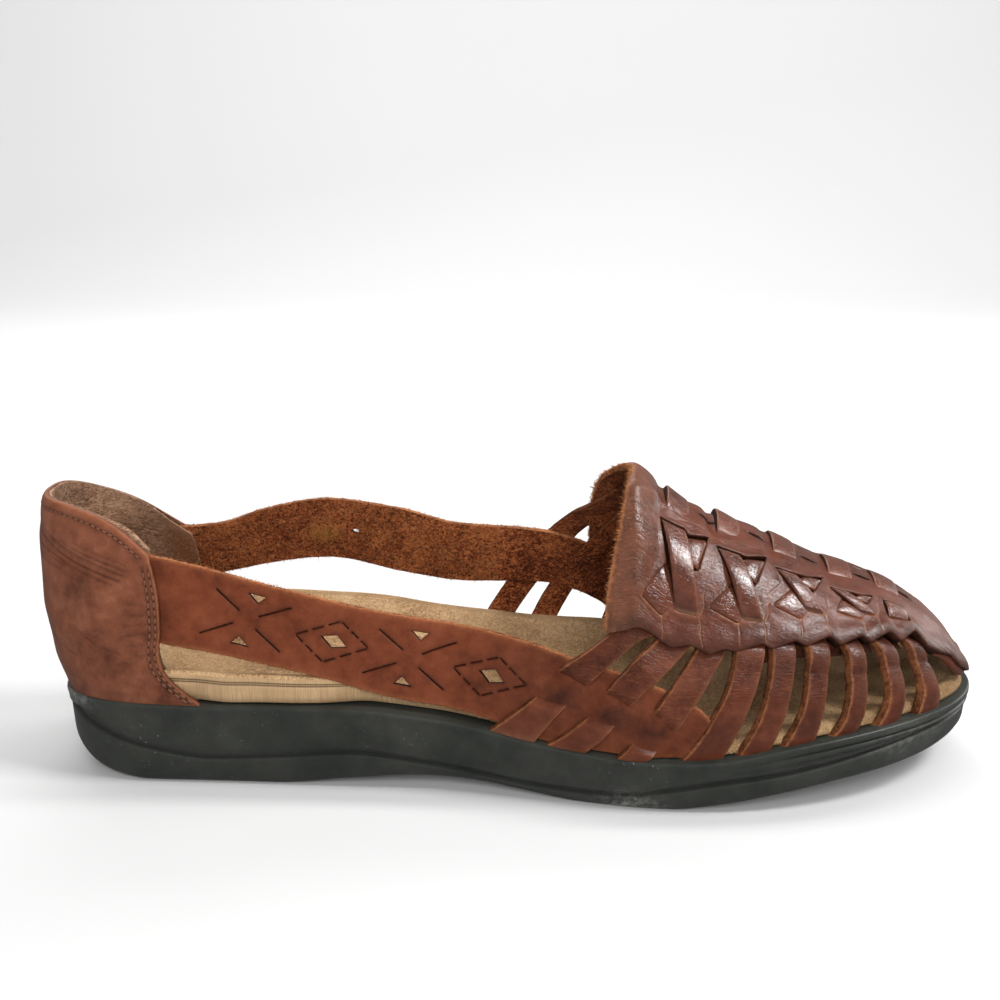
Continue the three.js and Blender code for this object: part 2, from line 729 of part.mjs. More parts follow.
// Scene graph

function mesh(name, manifold, color, roughness) {
  const { vertProperties, triVerts } = manifold.getMesh();
  const geometry = new THREE.BufferGeometry();
  geometry.setAttribute('position', new THREE.BufferAttribute(new Float32Array(vertProperties), 3));
  geometry.setIndex(new THREE.BufferAttribute(new Uint32Array(triVerts), 1));
  geometry.computeVertexNormals();
  const material = new THREE.MeshStandardMaterial({ color, roughness, metalness: 0 });
  const piece = new THREE.Mesh(geometry, material);
  piece.name = name;
  return piece;
}

const shoe = new THREE.Group();
shoe.add(mesh('outsole', makeOutsole(), 0x373a34, 0.6));
shoe.add(mesh('footbed', makeFootbed(), 0xb4966a, 0.95));
shoe.add(mesh('upper', makeUpper(), 0x7e4634, 0.45));
shoe.add(mesh('heel_counter', makeCounter(), 0x8b4c36, 0.5));

// The origin is under the middle of the shoe's box, on the floor
const box = new THREE.Box3().setFromObject(shoe);
const centre = box.getCenter(new THREE.Vector3());
shoe.position.set(-centre.x, -centre.y, -box.min.z);

export default shoe;
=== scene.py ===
"""Looks of the woven flat: fine leather, suede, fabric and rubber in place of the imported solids.

Shapes are worked out in millimetres in the shoe's own frame, with x from the back of the heel to the toe,
y towards the inner side of the foot and z up from the floor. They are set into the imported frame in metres.
"""
import math

import bmesh
import bpy
import numpy as np
from mathutils import Matrix, Vector
from mathutils.geometry import delaunay_2d_cdt


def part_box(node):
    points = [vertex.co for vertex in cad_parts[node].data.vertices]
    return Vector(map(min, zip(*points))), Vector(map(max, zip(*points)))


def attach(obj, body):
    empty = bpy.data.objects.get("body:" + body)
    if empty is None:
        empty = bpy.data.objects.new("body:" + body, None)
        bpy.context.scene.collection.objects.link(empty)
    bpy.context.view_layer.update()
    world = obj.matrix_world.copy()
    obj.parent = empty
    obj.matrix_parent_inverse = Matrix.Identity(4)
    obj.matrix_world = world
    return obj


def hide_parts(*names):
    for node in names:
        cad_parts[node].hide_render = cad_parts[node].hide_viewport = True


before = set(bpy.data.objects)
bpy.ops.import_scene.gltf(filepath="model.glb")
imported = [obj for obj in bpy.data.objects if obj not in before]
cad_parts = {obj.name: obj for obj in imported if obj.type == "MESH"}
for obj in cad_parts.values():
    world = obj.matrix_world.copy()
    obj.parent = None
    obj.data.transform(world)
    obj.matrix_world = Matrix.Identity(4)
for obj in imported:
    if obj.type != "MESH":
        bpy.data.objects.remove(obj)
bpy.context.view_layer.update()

MM = 0.001
TINY = 1e-9

# A turn in radians, rounded, for random phases
FULL_TURN = 6.28


def table(names, *rows):
    """Columns of a listed table, by name."""
    return dict(zip(names.split(), np.array(rows, float).T))


# Last and sole
HEEL = -1.5
TOE = 263.6
NOSE = 262.2
TOE_END = 260.0
GAP = 0.3
FEATHER_INSET = 2.8
HEEL_ROUND = 33.0
HEEL_POWER = 2.3
TOE_ROUND_FROM = 192.0
TOE_POWER = 2.15
NOSE_ROUND_FROM = 225.0
LEAN_POWER = 1.4
LEAN_UNTIL = 105.0
ARCH_FROM = 150.0
BACK_POWER = 1.3

OUTLINE = table(
    "x centre half",
    (-2, 0, 29.5), (40, 0, 30), (75, -1.2, 29.3), (110, -2.6, 28.8), (140, -2.6, 33),
    (170, -1.2, 39.5), (196, 1, 41.5), (225, 4, 41), (265, 9, 39.5),
)
SOLE = table(
    "x top bottom wave",
    (-2, 22.5, 12, 19), (4, 23, 6.2, 17.6), (9, 23.8, 3.4, 15.8), (17, 24.2, 1.2, 13.4),
    (28, 24, 0, 10.6), (46, 23.6, 0, 7.8), (64, 24, 0, 8.6), (88, 24, 2.3, 10.4),
    (106, 22.4, 3.8, 8.4), (123, 19.8, 2.9, 5.8), (136, 17.3, 1.4, 4.2), (150, 15.6, 0, 3.6),
    (163, 14.7, 0, 4), (175, 14.6, 0, 6), (188, 15.4, 1.6, 8.4), (205, 18.3, 4.4, 10.6),
    (222, 20.3, 6.8, 13), (240, 21.5, 8.4, 15.6), (252, 21.8, 9.8, 17), (265, 22, 12, 17.6),
)
RISE = table(
    "x rise",
    (0, 80), (140, 72), (152, 71), (164, 72), (172, 64.8), (184, 58.5), (196, 52), (207, 45.5),
    (222, 37.3), (236, 32.4), (249, 29.4), (258, 26.5), (265, 23),
)
LEAN = table(
    "x lateral medial",
    (-2, 0.039, 0.039), (35, 0.039, 0.036), (75, 0.045, 0.017), (150, 0.04, 0.02),
)
HEEL_BACK = table(
    "height bulge",
    (0, 0), (10, 3.2), (22, 4.8), (34, 5.4), (45, 5.3), (54, 4), (60, 2.6),
)

# Padded footbed: height of its edge over the sole on both sides, insets and the dish of its top
FOOTBED = table(
    "x lateral medial lateral_inset medial_inset hollow",
    (-2, 8, 8, 4, 4, 3), (42, 8, 12, 4, 4, 3.6), (54, 8, 15.4, 2, 2, 3.6), (68, 7.6, 15.2, 2, 2, 3.4),
    (78, 7.4, 15, 2.6, 2, 3.3), (92, 7, 15, 5.4, 3.6, 3.2), (108, 6.6, 15.3, 5.6, 6, 3),
    (124, 6.2, 16, 5.6, 6.8, 2.8), (144, 5, 16.6, 5.5, 7.4, 2.6), (158, 4.4, 15.6, 5.4, 7.4, 2),
    (178, 3.4, 6, 5.1, 6, 0.8), (225, 2.9, 2.9, 4.9, 5, 0.4),
    (247, 2.8, 2.8, 4.8, 4.9, 0.2), (256, 2.7, 2.7, 3.8, 3.9, 0.1), (265, 2.7, 2.7, 3, 3, 0),
)

# Heel counter: height of its collar and the line of its front edge
COLLAR = table(
    "x lateral medial",
    (-1.5, 79.2, 79.2), (1, 79.2, 76.8), (4, 79, 74.4), (9, 77.6, 71.4), (15, 75.2, 68.2),
    (21, 72, 64.8), (31, 64.6, 59.5),
)
COUNTER_FRONT = table(
    "z x",
    (23.5, 45), (26, 41.4), (29.4, 37.4), (33.3, 34.4), (38.7, 33.3), (44.5, 33.8), (52.4, 33.4),
    (60, 32), (65.6, 30.2),
)

# Side straps: lower and upper edge
LATERAL_STRAP = table(
    "x low high",
    (24, 41.8, 65.8), (31, 40.9, 64.5), (43, 39, 62.1), (59, 36, 58), (82, 31, 52.8), (98, 26.9, 49.9),
    (112, 24.6, 48), (127, 21.2, 46), (137, 17.4, 43.9), (148, 16.1, 40.8), (160, 15.1, 38),
    (172, 14.9, 34), (183, 15.4, 28), (189, 15.8, 20),
)
MEDIAL_STRAP = table(
    "x low high",
    (24, 44, 61), (39, 46, 62.4), (55, 49.4, 67.2), (74, 51.6, 70.4), (95, 47.8, 68), (114, 45, 63.4),
    (138, 44, 61.4), (155, 36.5, 55), (166, 22, 46), (174, 14.9, 38), (187, 15.6, 25), (194, 16.7, 19.2),
)

# Vamp: throat edge, and the scalloped lower edge of its band from throat to toe
THROAT = table(
    "angle x",
    (26, 156.6), (38, 157.4), (46, 158.6), (54, 160), (68, 162), (90, 164), (101, 160), (115, 155),
    (131, 152.6), (154, 152),
)
BAND_EDGE = [
    (156.8, 27.8), (163, 28.9), (170, 30.1), (174.3, 28.7), (179.3, 30.6), (184.3, 28.7), (188.3, 31.1),
    (191.2, 30.7), (198.7, 33.9), (201.1, 32.3), (207.5, 36.3), (210.5, 34.7), (216.8, 39.9),
    (219.5, 36.6), (225.9, 41.4), (228.1, 38.4), (234.1, 45), (237.2, 40.5), (241.7, 48.6),
    (245.2, 40), (248.9, 38.6), (252.9, 39.6), (256.2, 33.4), (258.8, 30), (TOE_END, 30),
]

# Side strips: edges at foot, middle and head, angle of middle and head, how far the medial foot sits back,
# and whether the strip is woven through the strap
STRIPS = [
    ((124, 137.6), (141.4, 150.4), (162.6, 172.4), 13.2, 29.5, 0, True),
    ((139.2, 151), (154.2, 163), (172, 181), 10.3, 29.2, 0, True),
    ((156.4, 165), (166.4, 174.8), (182.2, 190.2), 6.4, 30, 0, True),
    ((175.8, 188), (187.2, 195.8), (191, 199.8), 16, 32.4, 5, False),
    ((191, 200.9), (198.8, 206), (200, 207.6), 16, 34.2, 2, False),
    ((202.8, 212.9), (209.4, 215.8), (209.8, 217), 15.4, 36.6, 0, False),
    ((216.3, 224.4), (221.6, 227.4), (220, 226), 14, 38.8, 0, False),
    ((229.1, 236.9), (233.1, 238.7), (228.3, 234.2), 16.8, 41, 0, False),
    ((241.6, 250.2), (243.1, 249), (237.2, 241.8), 20, 44.4, 0, False),
]

# Medial course of the first strips, with the share of their run at which they pass under the band
INNER_STRIPS = [
    ((113, 121), (132.2, 141), (154.8, 164.4), 27, 54, 0.84),
    ((128.2, 135.8), (141.6, 149.6), (160.5, 168.6), 23, 46, 0.58),
    ((152, 160), (161, 168.4), (174, 181.4), 20, 40, 0.56),
]

# Slits of the lateral strap: angles at the rear and front edge where a strip goes in and comes out again
SLITS = [((10.2, 9.6), (17.6, 14.7)), ((8.5, 6.7), (14.4, 11.2)), ((3.5, 1.7), (11.6, 6.7))]

# How far both edges of a strip swing back where it comes out of the strap
SWINGS = [(2.4, 0.4), (1.4, 0.3), (0.7, -0.2)]

# Burnt place beside each slit: share of the way from slit to slit, and its offset
BURNT = [(0.12, 1.2, 0.2), (0.3, 1.6, -0.4), (0.6, -1.6, 0.4)]

# Crossings of the weave: x of foot and head, width, and angles of foot and head of the strip on top
CROSSINGS = [
    (178.4, 174.9, 6.4, 39.0, 69.0),
    (196.1, 190.1, 5.8, 41.0, 66.4),
    (213.4, 206.0, 5.4, 49.0, 65.0),
    (228.9, 221.0, 4.4, 53.0, 64.4),
    (238.0, 237.4, 5.8, 53.5, 64.5),
]

# Pads that show behind the foot of a crossing strip and before its head: corners as x and angle
PADS_BEHIND = [
    ((173.3, 52.5), (166.3, 37.8), (171.6, 36.1), (174.8, 40.8)),
    ((191.1, 52.8), (184.4, 42.4), (192.1, 39.4), (194.1, 44.4)),
    ((209.1, 59.4), (201.8, 47.8), (209.1, 44.7), (211, 48.6)),
    ((222.2, 59.7), (219.7, 51.9), (226.7, 49.8), (227.5, 53.2)),
]
PADS_BEFORE = [
    ((179.2, 65.8), (185.1, 68.9), (181.7, 53.7)),
    ((195.2, 65.1), (201.3, 68.6), (197.5, 55)),
    ((212.3, 65.2), (217.2, 68.8), (214.2, 59.9)),
    ((228, 63.4), (231.4, 65.4), (229.2, 59.6)),
]

# Squares along the ridge: middle, dip of the vamp behind it, and height of its rear and front edge
SQUARES = [
    (176.6, 1.2, 2.3, 0.6), (191, 1.3, 1.7, 0.5), (207, 0.7, 0.9, 0.4),
    (223, 0.3, 0.5, 0.5), (237, 0.2, 0.4, 0.4),
]
SQUARE_HALF = 3.4
SQUARE_ANGLES = (75, 105)
RIDGE_SLITS = [185.3, 199.3, 214.6, 230.0, 243.0]
RIDGE_SLIT_ANGLES = (83, 97)
RIDGE_SLIT_SIZE = (3.0, 1.1)

# Cut motif of the straps: slashes and triangles about a cross, and a diamond with dashes round it
CROSS_AT = (57.7, 103.3)
DIAMOND_AT = (82.1, 125.7)
SLASH_WIDTH = 0.4
DASH_WIDTH = 0.38
SLASHES = [
    (-8.4, 0.79, -2, 0.6), (3.5, 0.58, 12.6, 0.79), (-13.2, 0.21, -3.7, 0.43), (2.6, 0.41, 9.2, 0.2),
]
TRIANGLES = [(3, 0.84, 0.74, 2.4), (-2.1, 0.17, 0.275, 2.5)]
DIAMOND = [(-3.5, 0.53), (-0.9, 0.41), (3.5, 0.47), (0.9, 0.59)]
DASHED_DIAMOND = [(-10.7, 1.8), (2.1, 5.6), (9.7, -1.5), (-3.2, -5.7)]
DASHES = ((0.03, 0.27), (0.38, 0.62), (0.73, 0.97))

# The one hole of the medial strap that goes through, and its size
OPEN_HOLE = 4
OPEN_SCALE = 0.5

# Material of a face: grain side, flesh side, cut edge, and a near-black cut edge that is painted shade on
# walls in slits, openings and gaps
FACE, FLESH, RAW, DARK = 0, 1, 2, 3


# Small helpers
def blend(x, start, end):
    """Smooth step from 0 at start to 1 at end."""
    t = np.clip((np.asarray(x, float) - start) / (end - start), 0, 1)
    return t * t * (3 - 2 * t)


def mix(a, b, t):
    return a + (b - a) * t


def hill(distance, width):
    """Smooth hump that is 1 at distance 0."""
    return np.exp(-(distance / width) ** 2)


def fade(distance, width):
    """Steady decay that is 1 at distance 0."""
    return np.exp(-distance / width)


def unit(vectors):
    return vectors / np.maximum(np.linalg.norm(vectors, axis=-1, keepdims=True), TINY)


def left_of(steps):
    """Unit normals to the left of steps in a plane."""
    return unit(np.stack([-steps[..., 1], steps[..., 0]], -1))


def raised(plan, z):
    """Plan points with their heights."""
    return np.concatenate([plan, z[..., None]], -1)


def run_of(line):
    """Distance of each point of a line from its start, along the line."""
    return np.concatenate([[0], np.cumsum(np.linalg.norm(np.diff(line, axis=0), axis=1))])


def at_runs(line, runs):
    """Points of a flat line at given distances along it."""
    run = run_of(line)
    return np.stack([np.interp(runs, run, line[:, n]) for n in (0, 1)], -1)


def on_side(angle, medial):
    """The angle of a lateral point, or of its mirror image on the medial side."""
    return 180 - angle if medial else angle


def smooth(rows, key, name, at):
    """Monotone cubic through the rows of a table."""
    xs, ys = rows[key], rows[name]
    x = np.clip(np.asarray(at, float), xs[0], xs[-1])
    step = np.diff(xs)
    slope = np.diff(ys) / step
    tangent = np.empty_like(ys)
    tangent[0] = slope[0]
    tangent[-1] = slope[-1]
    total = slope[:-1] + slope[1:]
    product = slope[:-1] * slope[1:]
    tangent[1:-1] = np.where(product > 0, 2 * product / np.where(total == 0, 1, total), 0)
    i = np.clip(np.searchsorted(xs, x, side="right") - 1, 0, len(xs) - 2)
    t = (x - xs[i]) / step[i]
    u = 1 - t
    ends = (1 + 2 * t) * u * u * ys[i] + t * t * (3 - 2 * t) * ys[i + 1]
    return ends + t * u * step[i] * (u * tangent[i] - t * tangent[i + 1])


def along(rows, name, x):
    return smooth(rows, "x", name, x)


# Surfaces of the last
TURN_STEP = 1e-4
PROBE = 0.05


def end_round(x, toe_end):
    heel = np.clip((HEEL + HEEL_ROUND - x) / HEEL_ROUND, 0, 1)
    toe = np.clip((x - TOE_ROUND_FROM) / (toe_end - TOE_ROUND_FROM), 0, 1)
    return (1 - heel ** HEEL_POWER) ** (1 / HEEL_POWER) * (1 - toe ** TOE_POWER) ** (1 / TOE_POWER)


def outline(turn):
    """Edge of the sole in plan: turn 0 is the heel and 1 the toe, negative on the medial side."""
    turn = np.asarray(turn, float)
    x = HEEL + (TOE - HEEL) * (1 - np.cos(np.pi * turn)) / 2
    side = np.where(np.sin(np.pi * turn) < 0, 1.0, -1.0)
    y = along(OUTLINE, "centre", x) + side * along(OUTLINE, "half", x) * end_round(x, TOE)
    return np.stack([x, y], -1)


def inward(turn):
    """Unit normals of the outline, towards its inside."""
    return left_of(outline(np.asarray(turn) + TURN_STEP) - outline(np.asarray(turn) - TURN_STEP))


def outline_inset(turn, inset):
    return outline(turn) + inward(turn) * np.asarray(inset, float)[..., None]


def turn_at(x, medial):
    """Turn of the outline at a place along the shoe."""
    x = np.clip(np.asarray(x, float), HEEL, TOE)
    turn = np.arccos(1 - 2 * (x - HEEL) / (TOE - HEEL)) / np.pi
    return np.where(medial, -turn, turn)


def middle_line(x, ends):
    """Plan points on the middle of the sole, no further than ends."""
    x = np.clip(x, *ends)
    return np.stack([x, along(OUTLINE, "centre", x)], -1)


def sole_top(x):
    return along(SOLE, "top", x)


def rise(x):
    """Height of the ridge over the sole."""
    nose = np.clip((np.asarray(x, float) - NOSE_ROUND_FROM) / (NOSE - NOSE_ROUND_FROM), 0, 1)
    return along(RISE, "rise", x) * np.sqrt(1 - nose ** 2)


def rear_point(turn, height, lift):
    """Plan point of the leaning rear wall, at a height over the sole and lifted outwards."""
    x = outline(turn)[..., 0]
    lean_share = np.where(np.asarray(turn) < 0, along(LEAN, "medial", x), along(LEAN, "lateral", x))
    lean = lean_share * np.maximum(height, 0) ** LEAN_POWER
    back = np.maximum(inward(turn)[..., 0], 0) ** BACK_POWER
    bulge = smooth(HEEL_BACK, "height", "bulge", height)
    return outline_inset(turn, FEATHER_INSET + lean * (1 - back) - bulge * back - lift)


def skin(x, angle):
    """Outside of the last: angle 0 is the lateral feather line, 90 the ridge and 180 the medial line."""
    x, angle = np.broadcast_arrays(np.asarray(x, float), np.asarray(angle, float))
    bend = np.radians(angle)
    height = rise(x) * np.sin(bend)
    half = (along(OUTLINE, "half", x) - FEATHER_INSET) * end_round(x, NOSE)
    z = sole_top(x) + height
    arch = np.stack([x, along(OUTLINE, "centre", x) - half * np.cos(bend), z], -1)
    rear = raised(rear_point(turn_at(x, angle > 90), height, np.zeros_like(x)), z)
    share = blend(x, LEAN_UNTIL, ARCH_FROM)[..., None]
    return rear * (1 - share) + arch * share


def lifted(x, angle, lift):
    """Points of the last moved outwards by lift."""
    x, angle, lift = np.broadcast_arrays(
        np.minimum(np.asarray(x, float), NOSE - 2 * PROBE), np.asarray(angle, float), np.asarray(lift, float))
    forward = skin(x + PROBE, angle) - skin(x - PROBE, angle)
    over = skin(x, angle + PROBE) - skin(x, angle - PROBE)
    return skin(x, angle) + unit(np.cross(forward, over)) * lift[..., None]


def angle_at(x, z, medial):
    """Angle on the last of a point given by its place along the shoe and its height."""
    angle = np.degrees(np.arcsin(np.clip((z - sole_top(x)) / rise(x), -0.2, 1)))
    return np.where(medial, 180 - angle, angle)


# From the shoe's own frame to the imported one
low_corner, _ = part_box("outsole")
lateral_edge = outline(np.linspace(0, 2, 4001))[:, 1].min()
SHIFT = np.array([low_corner.x - HEEL * MM, low_corner.y - lateral_edge * MM, 0.0])


# Mesh building
VALUES = ("edge", "dark", "pale", "crease", "stain")
BORDER = 0.35


class Shape:
    """Gathers points, faces and values of the points, and makes one piece of them."""

    def __init__(self):
        self.points = []
        self.flat = []
        self.values = {name: [] for name in VALUES}
        self.corners = []
        self.sizes = []
        self.kinds = []
        self.total = 0

    def add(self, points, flat=None, **values):
        """Adds points with their pattern places and values, and gives the number of the first."""
        points = np.asarray(points, float).reshape(-1, 3)
        count = len(points)
        first = self.total
        self.points.append(points)
        self.flat.append(points if flat is None else np.asarray(flat, float).reshape(-1, 3))
        for name in VALUES:
            value = np.asarray(values.get(name, 0.0), float).ravel()
            self.values[name].append(np.broadcast_to(value, (count,)))
        self.total += count
        return first

    def grid(self, points, flat=None, **values):
        """Adds a grid of points and gives their numbers."""
        rows, columns = points.shape[:2]
        return self.add(points, flat, **values) + np.arange(rows * columns).reshape(rows, columns)

    def face(self, corners, kind):
        corners = np.asarray(corners)
        count, size = corners.shape
        self.corners.append(corners.ravel())
        self.sizes.append(np.full(count, size))
        self.kinds.append(np.broadcast_to(np.asarray(kind), (count,)))

    def caps(self, rings, kind):
        """Closes the first and the last of some rings."""
        for ring in (rings[0], rings[-1]):
            self.face(np.stack([np.full(len(ring) - 2, ring[0]), ring[1:-1], ring[2:]], -1), kind)

    def build(self, name, materials, node):
        mesh = bpy.data.meshes.new(name)
        used, corners = np.unique(np.concatenate(self.corners), return_inverse=True)
        points = np.concatenate(self.points)[used] * MM + SHIFT
        sizes = np.concatenate(self.sizes).astype(np.int32)
        starts = np.concatenate([[0], np.cumsum(sizes)[:-1]]).astype(np.int32)
        mesh.vertices.add(len(points))
        mesh.vertices.foreach_set("co", points.astype(np.float32).ravel())
        mesh.loops.add(len(corners))
        mesh.loops.foreach_set("vertex_index", corners.astype(np.int32))
        mesh.polygons.add(len(sizes))
        mesh.polygons.foreach_set("loop_start", starts)
        mesh.polygons.foreach_set("loop_total", sizes)
        mesh.polygons.foreach_set("material_index", np.concatenate(self.kinds).astype(np.int32))
        mesh.update(calc_edges=True)
        for material in materials:
            mesh.materials.append(material)
        for value in VALUES:
            layer = mesh.attributes.new(value, "FLOAT", "POINT")
            layer.data.foreach_set("value", np.concatenate(self.values[value])[used].astype(np.float32))
        layer = mesh.attributes.new("flat", "FLOAT_VECTOR", "POINT")
        layer.data.foreach_set("vector", np.concatenate(self.flat)[used].astype(np.float32).ravel())
        faces = bmesh.new()
        faces.from_mesh(mesh)
        bmesh.ops.recalc_face_normals(faces, faces=faces.faces)
        faces.to_mesh(mesh)
        faces.free()
        mesh.polygons.foreach_set("use_smooth", np.ones(len(mesh.polygons), bool))
        mesh.update()
        piece = bpy.data.objects.new(name, mesh)
        bpy.context.scene.collection.objects.link(piece)
        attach(piece, "root")
        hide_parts(node)
        return piece


def merge(piece):
    """Joins points that lie on each other and drops faces without size."""
    mesh = bmesh.new()
    mesh.from_mesh(piece.data)
    bmesh.ops.remove_doubles(mesh, verts=mesh.verts, dist=2e-6)
    bmesh.ops.dissolve_degenerate(mesh, edges=mesh.edges, dist=1e-6)
    bmesh.ops.recalc_face_normals(mesh, faces=mesh.faces)
    mesh.to_mesh(piece.data)
    mesh.free()


def grid_faces(at, closed=False):
    """Quads of a grid of point numbers; closed joins its last column to its first."""
    right = np.roll(at, -1, 1) if closed else at[:, 1:]
    left = at if closed else at[:, :-1]
    return np.stack([left[:-1], right[:-1], right[1:], left[1:]], -1).reshape(-1, 4)


def round_over(gap):
    """How far a rounded border falls at this distance from the cut."""
    inside = np.clip(BORDER - gap, 0, BORDER)
    return BORDER - np.sqrt(BORDER ** 2 - inside ** 2)


def strip_section(width, thick, crown, side, bevel=0.0):
    """Cross section of a leather strip: face with rounded borders, cut sides and flesh side."""
    near = np.array([0, 0.1, 0.3, 0.8]) / width
    slant = bevel / width
    middle = np.linspace(near[-1] + slant, 1 - near[-1], 8)[1:-1]
    top = np.concatenate([near + slant, middle, 1 - near[::-1]])
    gap = np.minimum(top - slant, 1 - top) * width
    lift = crown * (1 - (2 * top - 1) ** 2) - round_over(gap)
    under = np.array([1, 0.97, 0.66, 0.33, 0.03, 0, 0.3 * slant, 0.68 * slant])
    depth = -thick + np.array([0.4, 0, 0, 0, 0, 0.3, 0.45 * thick, 0.78 * thick])
    kinds = [FACE] * (len(top) - 1) + [side, side] + [FLESH] * 3 + [side] * 4
    return np.concatenate([top, under]), np.concatenate([lift, depth]), np.array(kinds)


def sweep(shape, place, section, rows, paint, fuzz=0.0):
    """Carries a closed section along rows; place(s, t, lift) gives points and paint(s, t) their values."""
    s, lift, kinds = section
    across, run = np.meshgrid(s, rows)
    chance = np.random.default_rng(len(rows))
    lifts = np.broadcast_to(lift, across.shape).copy()
    # The last three points of the section are its rear cut side
    lifts[:, -3:] += fuzz * chance.normal(0, 1, (len(rows), 3))
    flat, values = paint(across, run)
    at = shape.grid(place(across, run, lifts), flat, **values)
    shape.face(grid_faces(at, closed=True), np.tile(kinds, len(rows) - 1))
    shape.caps(at, RAW)


def wander(x, seed, size):
    """Smooth irregular line, for cut edges and hand-made surfaces."""
    chance = np.random.default_rng(seed)
    value = np.zeros_like(np.asarray(x, float))
    for k in range(5):
        value = value + np.sin(x * (0.35 + 0.62 * k) / size + chance.uniform(0, FULL_TURN)) / (k + 1.4)
    return value * 0.5


def wander_2d(x, y, seed, size):
    """Smooth irregular surface made of a few crossing waves."""
    chance = np.random.default_rng(seed)
    value = np.zeros_like(np.asarray(x, float))
    for k in range(7):
        heading = chance.uniform(0, math.pi)
        wave = (0.5 + 0.35 * k) / size
        way = x * math.cos(heading) + y * math.sin(heading)
        value = value + np.sin(way * wave * FULL_TURN + chance.uniform(0, FULL_TURN)) / (1 + 0.5 * k)
    return value * 0.45


# Panels cut from flat patterns
RIM_STEP = 0.7
FINE_STEP = 0.32
SMALL_LOOP = 26.0
RIM_RINGS = (0.12, 0.42)
ENGRAVED_DEPTH = 0.5
MARK_OFFSETS = (-0.6, -0.22, 0.0, 0.22, 0.6)
MARK_STEP = 0.4
ROW_SHARE = 0.866


def resample(loop):
    """Closed loop with close, even points; large loops have their corners a little rounded."""
    loop = np.asarray(loop, float)
    after = np.roll(loop, -1, 0)
    small = np.linalg.norm(after - loop, axis=1).sum() < SMALL_LOOP
    step = FINE_STEP if small else RIM_STEP
    parts = []
    for a, b in zip(loop, after):
        count = max(1, int(round(np.linalg.norm(b - a) / step)))
        parts.append(a + (b - a) * (np.arange(count) / count)[:, None])
    points = np.concatenate(parts)
    if not small:
        points = 0.5 * points + 0.25 * (np.roll(points, 1, 0) + np.roll(points, -1, 0))
    return points


def turned(loop, left):
    """The loop in the wanted sense of turning."""
    after = np.roll(loop, -1, 0)
    area = np.sum(loop[:, 0] * after[:, 1] - after[:, 0] * loop[:, 1])
    return loop if (area > 0) == left else loop[::-1]


def into_material(loop):
    """Unit normals of a loop, towards the material."""
    return left_of(np.roll(loop, -1, 0) - np.roll(loop, 1, 0))


def line_distance(points, starts, ends):
    """Distance of each point to the nearest of some segments, and that segment's number."""
    best = np.full(len(points), 1e9)
    which = np.zeros(len(points), int)
    run = ends - starts
    length = np.maximum((run ** 2).sum(1), 1e-12)
    batch = 2000
    for low in range(0, len(points), batch):
        part = points[low:low + batch]
        share = ((part[:, None] - starts) * run).sum(2) / length
        share = np.clip(share, 0, 1)
        gap = part[:, None] - starts - share[..., None] * run
        gap = (gap ** 2).sum(2)
        which[low:low + batch] = gap.argmin(1)
        best[low:low + batch] = gap.min(1)
    return np.sqrt(best), which


def away_from(points, line):
    """Distance of each point to a line."""
    return line_distance(points, line[:-1], line[1:])[0]


def inside_loops(points, starts, ends):
    """Whether each point is inside an odd number of loops."""
    result = np.zeros(len(points), bool)
    rise_y = np.where(np.abs(ends[:, 1] - starts[:, 1]) < 1e-12, 1e-12, ends[:, 1] - starts[:, 1])
    batch = 4000
    for low in range(0, len(points), batch):
        part = points[low:low + batch]
        above = (starts[:, 1] > part[:, None, 1]) != (ends[:, 1] > part[:, None, 1])
        cross = (part[:, None, 1] - starts[:, 1]) / rise_y * (ends[:, 0] - starts[:, 0]) + starts[:, 0]
        result[low:low + batch] = ((part[:, None, 0] < cross) & above).sum(1) % 2 == 1
    return result


def mark_points(line):
    """Extra pattern points along a crease, so that it can be narrow."""
    middle = at_runs(line, np.arange(MARK_STEP / 2, run_of(line)[-1], MARK_STEP))
    normal = left_of(np.gradient(middle, axis=0))
    return np.concatenate([middle + normal * offset for offset in MARK_OFFSETS])


def field_points(loops, starts, ends, cell, marks):
    """Pattern points in the material: rings beside each cut, close points along marks and an even field."""
    parts = []
    for ring in RIM_RINGS:
        moved = np.concatenate([loop + into_material(loop) * ring for loop in loops])
        gap, _ = line_distance(moved, starts, ends)
        parts.append(moved[(gap > ring * 0.9) & inside_loops(moved, starts, ends)])
    low, high = starts.min(0), starts.max(0)
    columns = np.arange(low[0], high[0], cell)
    lines = np.arange(low[1], high[1], cell * ROW_SHARE)
    field_x, field_y = np.meshgrid(columns, lines)
    field_x = field_x + (np.arange(len(lines)) % 2 * cell / 2)[:, None]
    field = np.stack([field_x.ravel(), field_y.ravel()], -1)
    field = field[inside_loops(field, starts, ends)]
    gap, _ = line_distance(field, starts, ends)
    field = field[gap > RIM_RINGS[-1] + 0.3 * cell]
    if marks:
        mark_starts = np.concatenate([line[:-1] for line in marks])
        mark_ends = np.concatenate([line[1:] for line in marks])
        away, _ = line_distance(field, mark_starts, mark_ends)
        field = field[away > MARK_OFFSETS[-1] + 0.25]
        close = np.concatenate([mark_points(line) for line in marks])
        gap, _ = line_distance(close, starts, ends)
        parts.append(close[(gap > RIM_RINGS[-1] + 0.1) & inside_loops(close, starts, ends)])
    return [*parts, field]


